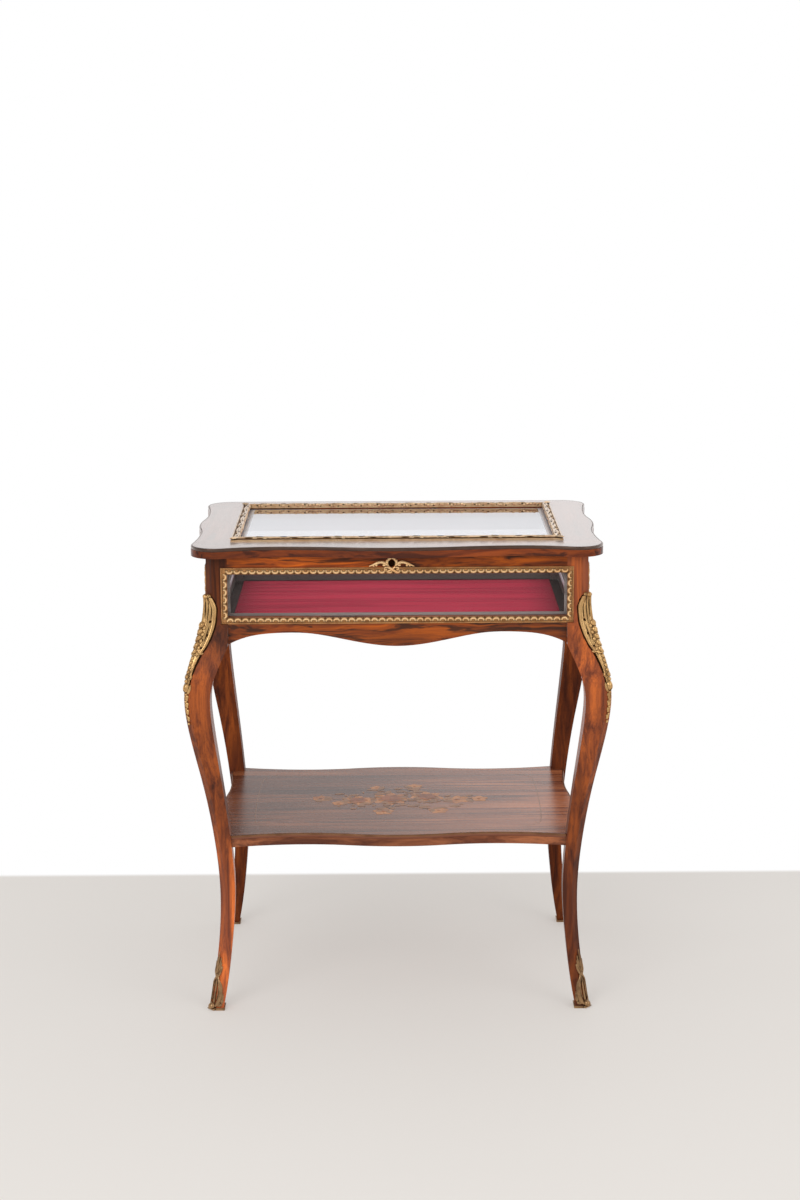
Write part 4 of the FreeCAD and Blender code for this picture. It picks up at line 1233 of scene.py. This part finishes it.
class TABLE_OT_escutcheon(bpy.types.Operator):
    """Models the gilt bow round the keyhole"""
    bl_idname = "display_table.escutcheon"
    bl_label = "Escutcheon"

    # How far the keyhole lies below the top of the bow
    keyhole_drop = 8 * MM

    def execute(self, context):
        low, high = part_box("escutcheon")
        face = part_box("top_rail_front")[0].y
        keyhole = Vector(((low.x + high.x) / 2, face, high.z - self.keyhole_drop))
        gilt = joined(mirrored(self.collar() + self.wing()) + self.crown() + self.ribbon())
        # Painted shade: a dark disc for the keyhole and a dark spot in each wing's hollow
        spots = [ball((0, 0, 0), (5.4, 5.2, 0.5), 24, 6)]
        spots += mirrored([ball(mm(22.3, 0.4, 3.4), (1.2, 1.0, 0.7), 8, 5)])
        shade_spots = dressed(joined(spots), "gilding_painted_shade")
        bow = joined([dressed(gilt, "gilding_frame"), shade_spots])
        moved(bow, facing_frame(keyhole, Vector((0, -1, 0))))
        finished(bow, "keyhole_bow", "case", 50)
        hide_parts("escutcheon")
        return {"FINISHED"}

    def collar(self):
        """Half of the lumpy collar: a leaf that bends from the ribbon up to the crown."""
        bend = strand([(4.6, -5.4), (7.4, -2.0), (7.6, 2.6), (5.2, 6.6), (0.6, 8.8)],
                      (1.4, 2.2, 2.3, 2.1, 1.6), 2.3)
        return [bend] + [ball(mm(x, y, 3.0), (width, width, 2.4), 10, 6)
                         for x, y, width in ((8.0, -1.0, 2.2), (7.0, 4.6, 2.3), (3.6, 7.8, 2.0))]

    def wing(self):
        """A thick leaf scroll that springs from the collar, arches over and falls to its tip."""
        arch = strand([(9, 0.2), (13, 2.0), (18, 2.4), (23, 0.6), (28, -1.9), (34.5, -4.4)],
                      (2.3, 2.5, 2.3, 2.3, 1.7, 0.8), 2.5)
        lumps = ((11.4, -2.4, 3.0, 2.1), (15.0, 2.9, 2.4, 1.8), (23.4, -2.5, 2.0, 2.3),
                 (27.6, -3.4, 2.1, 1.4), (19.6, 2.2, 2.2, 1.8))
        return [arch] + [ball(mm(x, y, 2.9), (wide, tall, 2.2), 10, 6) for x, y, wide, tall in lumps]

    def crown(self):
        """Three lobes over the collar."""
        return [ball(mm(math.sin(lean) * reach, math.cos(lean) * reach, 2.6), (width, 2.4, 2.2), lean=-lean)
                for lean, reach, width in ((-0.42, 9.4, 1.8), (0.0, 10.4, 2.2), (0.42, 9.4, 1.8))]

    def ribbon(self):
        """The two-stranded ribbon, crossed over the window moulding, with a loop to each side."""
        parts = []
        for aside in (0.0, 2.4):
            points = [(-6.8, -4.8), (-2.4, -7.6), (2.8, -10.8), (8.2, -13.8)]
            parts.append(strand([(x + aside, y) for x, y in points], (0.9, 1.1, 1.1, 0.8), 5.9))
        parts.append(strand([(5.6, -4.8), (2.0, -7.4), (-3.0, -10.8), (-7.6, -12.2)],
                            (1.2, 1.4, 1.3, 0.8), 4.9))
        return parts + mirrored(volute(mm(8.6, -8.4, 4.6), 3.2, 1.1, 1.0, 2.4, -1))


class TABLE_OT_edge_bands(bpy.types.Operator):
    """Rounds and finishes the metal bands along the edges of the lid and the shelf"""
    bl_idname = "display_table.edge_bands"
    bl_label = "Edge bands"

    # How far the brass line reaches down the shelf's edge
    line_height = 3.2

    def execute(self, context):
        shades = context.scene.table_colours
        plain_metal("band_bronze", shades.bronze, 0.34, painted_glare=0.9)
        lid = dressed(bevelled(traced("lid_edge_band"), 1.5, 3, 50), "band_bronze")
        finished(lid, "lid_rounded_band", "lid")
        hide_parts("lid_edge_band")
        plain_metal("line_brass", shades.line, 0.36, wood=shades.shelf_mid,
                    line=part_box("shelf_edge_band")[1].z - self.line_height * MM)
        shelf = dressed(bevelled(traced("shelf_edge_band"), 0.7, 3, 50), "line_brass")
        finished(shelf, "shelf_brass_line", "case")
        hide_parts("shelf_edge_band")
        return {"FINISHED"}


# Velvet and marquetry


class TABLE_OT_velvet(bpy.types.Operator):
    """Models the padded velvet bed of the case"""
    bl_idname = "display_table.velvet"
    bl_label = "Velvet bed"

    # How far the cloth may swell, how far it stays clear of the case, and the size of its meshes
    swell = 0.8
    clear = 0.8
    cell = 4.0
    # The cloth's lower share that is held, the pressure of its stuffing and the frames that it swells for
    held_share = 0.3
    pressure = 4
    frames = 20

    def execute(self, context):
        shades = context.scene.table_colours
        low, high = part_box("velvet_bed")
        inset = mm(self.clear, self.clear, 0)
        low += inset
        high -= inset + mm(0, 0, self.swell)
        span = high - low
        columns, rows = [round(length / self.cell / MM) for length in span.xy]
        grid = added(bpy.ops.mesh.primitive_grid_add, x_subdivisions=columns, y_subdivisions=rows, size=1)
        pad = moved(grid, shift((low.x + high.x) / 2, (low.y + high.y) / 2, low.z),
                    Matrix.Diagonal((span.x, span.y, 1, 1)))
        modify(pad, "SOLIDIFY", thickness=span.z, offset=1)
        bevelled(pad, 0.7, 3, 60)
        self.inflate(context, pad, low.z, high.z)
        velvet_cloth("crimson_velvet", shades.velvet, shades.velvet_shade)
        finished(dressed(pad, "crimson_velvet"), "velvet_pad", "case", 60)
        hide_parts("velvet_bed")
        return {"FINISHED"}

    def inflate(self, context, pad, floor, top):
        """Swells the cloth over its stuffing, its underside held to the board."""
        start = [vertex.co.copy() for vertex in pad.data.vertices]
        held = pad.vertex_groups.new(name="held")
        edge = floor + self.held_share * (top - floor)
        held.add([i for i, place in enumerate(start) if place.z < edge], 1, "REPLACE")
        select(pad)
        bpy.ops.object.modifier_add(type="CLOTH")
        cloth = pad.modifiers[-1]
        cloth.settings.use_pressure = True
        cloth.settings.uniform_pressure_force = self.pressure
        cloth.settings.effector_weights.gravity = 0
        cloth.settings.vertex_group_mass = "held"
        for i in range(self.frames):
            context.scene.frame_set(i + 1)
        bpy.ops.object.modifier_apply(modifier=cloth.name)
        for vertex, place in zip(pad.data.vertices, start):
            move = vertex.co - place
            if move.length > self.swell * MM:
                vertex.co = place + move.normalized() * self.swell * MM


class TABLE_OT_marquetry(bpy.types.Operator):
    """Lays the floral spray into the shelf's veneer"""
    bl_idname = "display_table.marquetry"
    bl_label = "Marquetry"

    # Thickness of the inlays, the height of the first and how far each lies above the one laid before
    thick = 0.12
    first = 0.05
    lift = 0.0015
    # Flowers: place, radius and number of petals. The large ones come first and have an inner ring
    flowers = [(-12, 4, 32, 8), (-66, -4, 24, 6), (48, 14, 27, 7), (-128, 8, 15, 6), (98, -2, 20, 6),
               (-24, -66, 17, 5), (66, -62, 16, 5), (-36, 66, 11, 5), (28, 74, 12, 5), (-98, -20, 11, 5),
               (134, 2, 14, 5)]
    large = 3
    # The small leaves: their number and the half axes of the oval that they are strewn over
    small_leaves = 90
    oval = (140, 62)
    # Screen colours of each inlay's wood and of its figure
    woods = {"petals": ((224, 150, 88), (158, 90, 50)), "hearts": ((184, 106, 60), (112, 60, 36)),
             "leaves": ((178, 124, 84), (124, 84, 58)), "stems": ((84, 54, 42), (58, 38, 32)),
             "stringing": ((150, 108, 82), (118, 80, 60))}
    # How far the stringing stays inside the veneer's edges
    string_inset = (54, 44)

    def execute(self, context):
        self.pick = random.Random(11).uniform
        self.laid = 0
        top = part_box("shelf_veneer")[1].z
        parts = {name: [] for name in self.woods}
        for x, y, radius, count in self.flowers:
            parts["petals"] += self.petals(x, y, radius, count, 0.0)
            parts["hearts"].append(ball(mm(x, y, 0), (0.24 * radius, 0.24 * radius, 0.5)))
            parts["stems"].append(self.stem(x, y))
            parts["leaves"] += self.leaves(x, y)
        parts["leaves"] += self.strewn()
        for x, y, radius, count in self.flowers[:self.large]:
            parts["hearts"] += self.petals(x, y, 0.62 * radius, count, math.pi / count)
        parts["stringing"] = self.stringing()
        for name, (light, dark) in self.woods.items():
            self.inlay_wood("inlay_" + name, srgb(*light), srgb(*dark))
            inlay = dressed(moved(joined(parts[name]), shift(0, 0, top)), "inlay_" + name)
            finished(inlay, "marquetry_" + name, "case")
        return {"FINISHED"}

    def inlay_wood(self, name, light, dark):
        """Small veneers, darkened in patches as by hot sand, under a gloss like the shelf's."""
        finish = Finish(name)
        grain = finish.noise(finish.place((60.0, 700.0, 1.0)), 1.0, 3.0, 0.6)
        scorch = finish.noise(finish.place(), 55.0, 3.0).step(0.4, 0.66)
        base = finish.mix(grain.step(0.4, 0.7) * 0.4 + scorch * 0.5, light, dark)
        return finish.feed(base_color=base, roughness=0.22 + grain * 0.1, specular_ior_level=0.3)

    def flat_leaf(self, length, half_width):
        def shape(along, across):
            return mm(across * half_width * math.sin(math.pi * along ** 0.8) ** 0.7, along * length, 0)
        self.laid += 1
        return moved(blade(shape, 8, 3, self.thick), shift_mm(0, 0, self.first + self.laid * self.lift))

    def petals(self, x, y, radius, count, start):
        parts = []
        for i in range(count):
            lean = start + math.tau * i / count + self.pick(-0.12, 0.12)
            petal = self.flat_leaf(radius * self.pick(0.88, 1.05), 2.31 * radius / count)
            parts.append(moved(petal, shift_mm(x, y), turn(lean), shift_mm(0, 0.12 * radius)))
        return parts

    def stem(self, x, y):
        """From the middle of the spray to a flower, with a soft bend."""
        bend = 0.16 * x + self.pick(-8, 8)
        points = [(0, -14), (0.3 * x, 0.25 * y - 12), (0.7 * x + 0.1 * bend, 0.8 * y - 10), (x, y)]
        return moved(strand(points, [0.9] * 4, 0, 1, 6), Matrix.Diagonal((1, 1, 0.05, 1)))

    def leaves(self, x, y):
        """Two leaves on each side of the way to a flower."""
        parts = []
        for side in (-1, 1):
            for place in (0.55, 0.85):
                lean = math.atan2(y, x) - math.pi / 2 + side * self.pick(0.6, 1.2)
                length = self.pick(14, 22)
                spot = shift_mm(place * x, place * y - 9 * (1 - place))
                parts.append(moved(self.flat_leaf(length, 0.24 * length), spot, turn(lean)))
        return parts

    def strewn(self):
        """Small leaves all over the spray."""
        parts = []
        for i in range(self.small_leaves):
            around = self.pick(0, math.tau)
            reach = self.pick(0.15, 1.0)
            spot = shift_mm(self.oval[0] * reach * math.cos(around), self.oval[1] * reach * math.sin(around))
            length = self.pick(8, 18)
            small = self.flat_leaf(length, self.pick(0.2, 0.32) * length)
            parts.append(moved(small, spot, turn(self.pick(0, math.tau))))
        return parts

    def stringing(self):
        """A fine pale line inside each end of the shelf, with turned-in corners."""
        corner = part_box("shelf_veneer")[1] / MM
        x = corner.x - self.string_inset[0]
        y = corner.y - self.string_inset[1]
        points = [(x - 40, y), (x - 14, y), (x - 12, y - 14), (x, y - 16), (x + 3, 0)]
        points += [(px, -py) for px, py in reversed(points[:-1])]
        line = strand(points, [0.6] * len(points), 0, 1, 6)
        return mirrored([moved(line, Matrix.Diagonal((1, 1, 0.1, 1)))])


class TABLE_PT_panel(bpy.types.Panel):
    """Lists the steps that make the table, and their settings"""
    bl_label = "Display table"
    bl_idname = "TABLE_PT_panel"
    bl_space_type = "VIEW_3D"
    bl_region_type = "UI"
    bl_category = "Display table"

    def draw(self, context):
        for operator in OPERATORS:
            self.layout.operator(operator.bl_idname)
        for group in (context.scene.table_colours, context.scene.table_gilt, context.scene.table_stage):
            box = self.layout.box()
            for name in group.bl_rna.properties.keys():
                if name not in ("rna_type", "name"):
                    box.prop(group, name)


OPERATORS = (TABLE_OT_stage, TABLE_OT_woodwork, TABLE_OT_fittings, TABLE_OT_window_mouldings,
             TABLE_OT_lid_moulding, TABLE_OT_knee_mounts, TABLE_OT_sabots, TABLE_OT_escutcheon,
             TABLE_OT_edge_bands, TABLE_OT_velvet, TABLE_OT_marquetry)
GROUPS = {"table_colours": TableColours, "table_gilt": GiltSizes, "table_stage": StageSizes}


def register():
    for group in GROUPS.values():
        bpy.utils.register_class(group)
    for name, group in GROUPS.items():
        setattr(bpy.types.Scene, name, bpy.props.PointerProperty(type=group))
    for operator in OPERATORS:
        bpy.utils.register_class(operator)
    bpy.utils.register_class(TABLE_PT_panel)


def unregister():
    bpy.utils.unregister_class(TABLE_PT_panel)
    for operator in reversed(OPERATORS):
        bpy.utils.unregister_class(operator)
    for name in GROUPS:
        delattr(bpy.types.Scene, name)
    for group in GROUPS.values():
        bpy.utils.unregister_class(group)


def main():
    register()
    for operator in OPERATORS:
        group, name = operator.bl_idname.split(".")
        getattr(getattr(bpy.ops, group), name)()


if __name__ == "__main__":
    main()
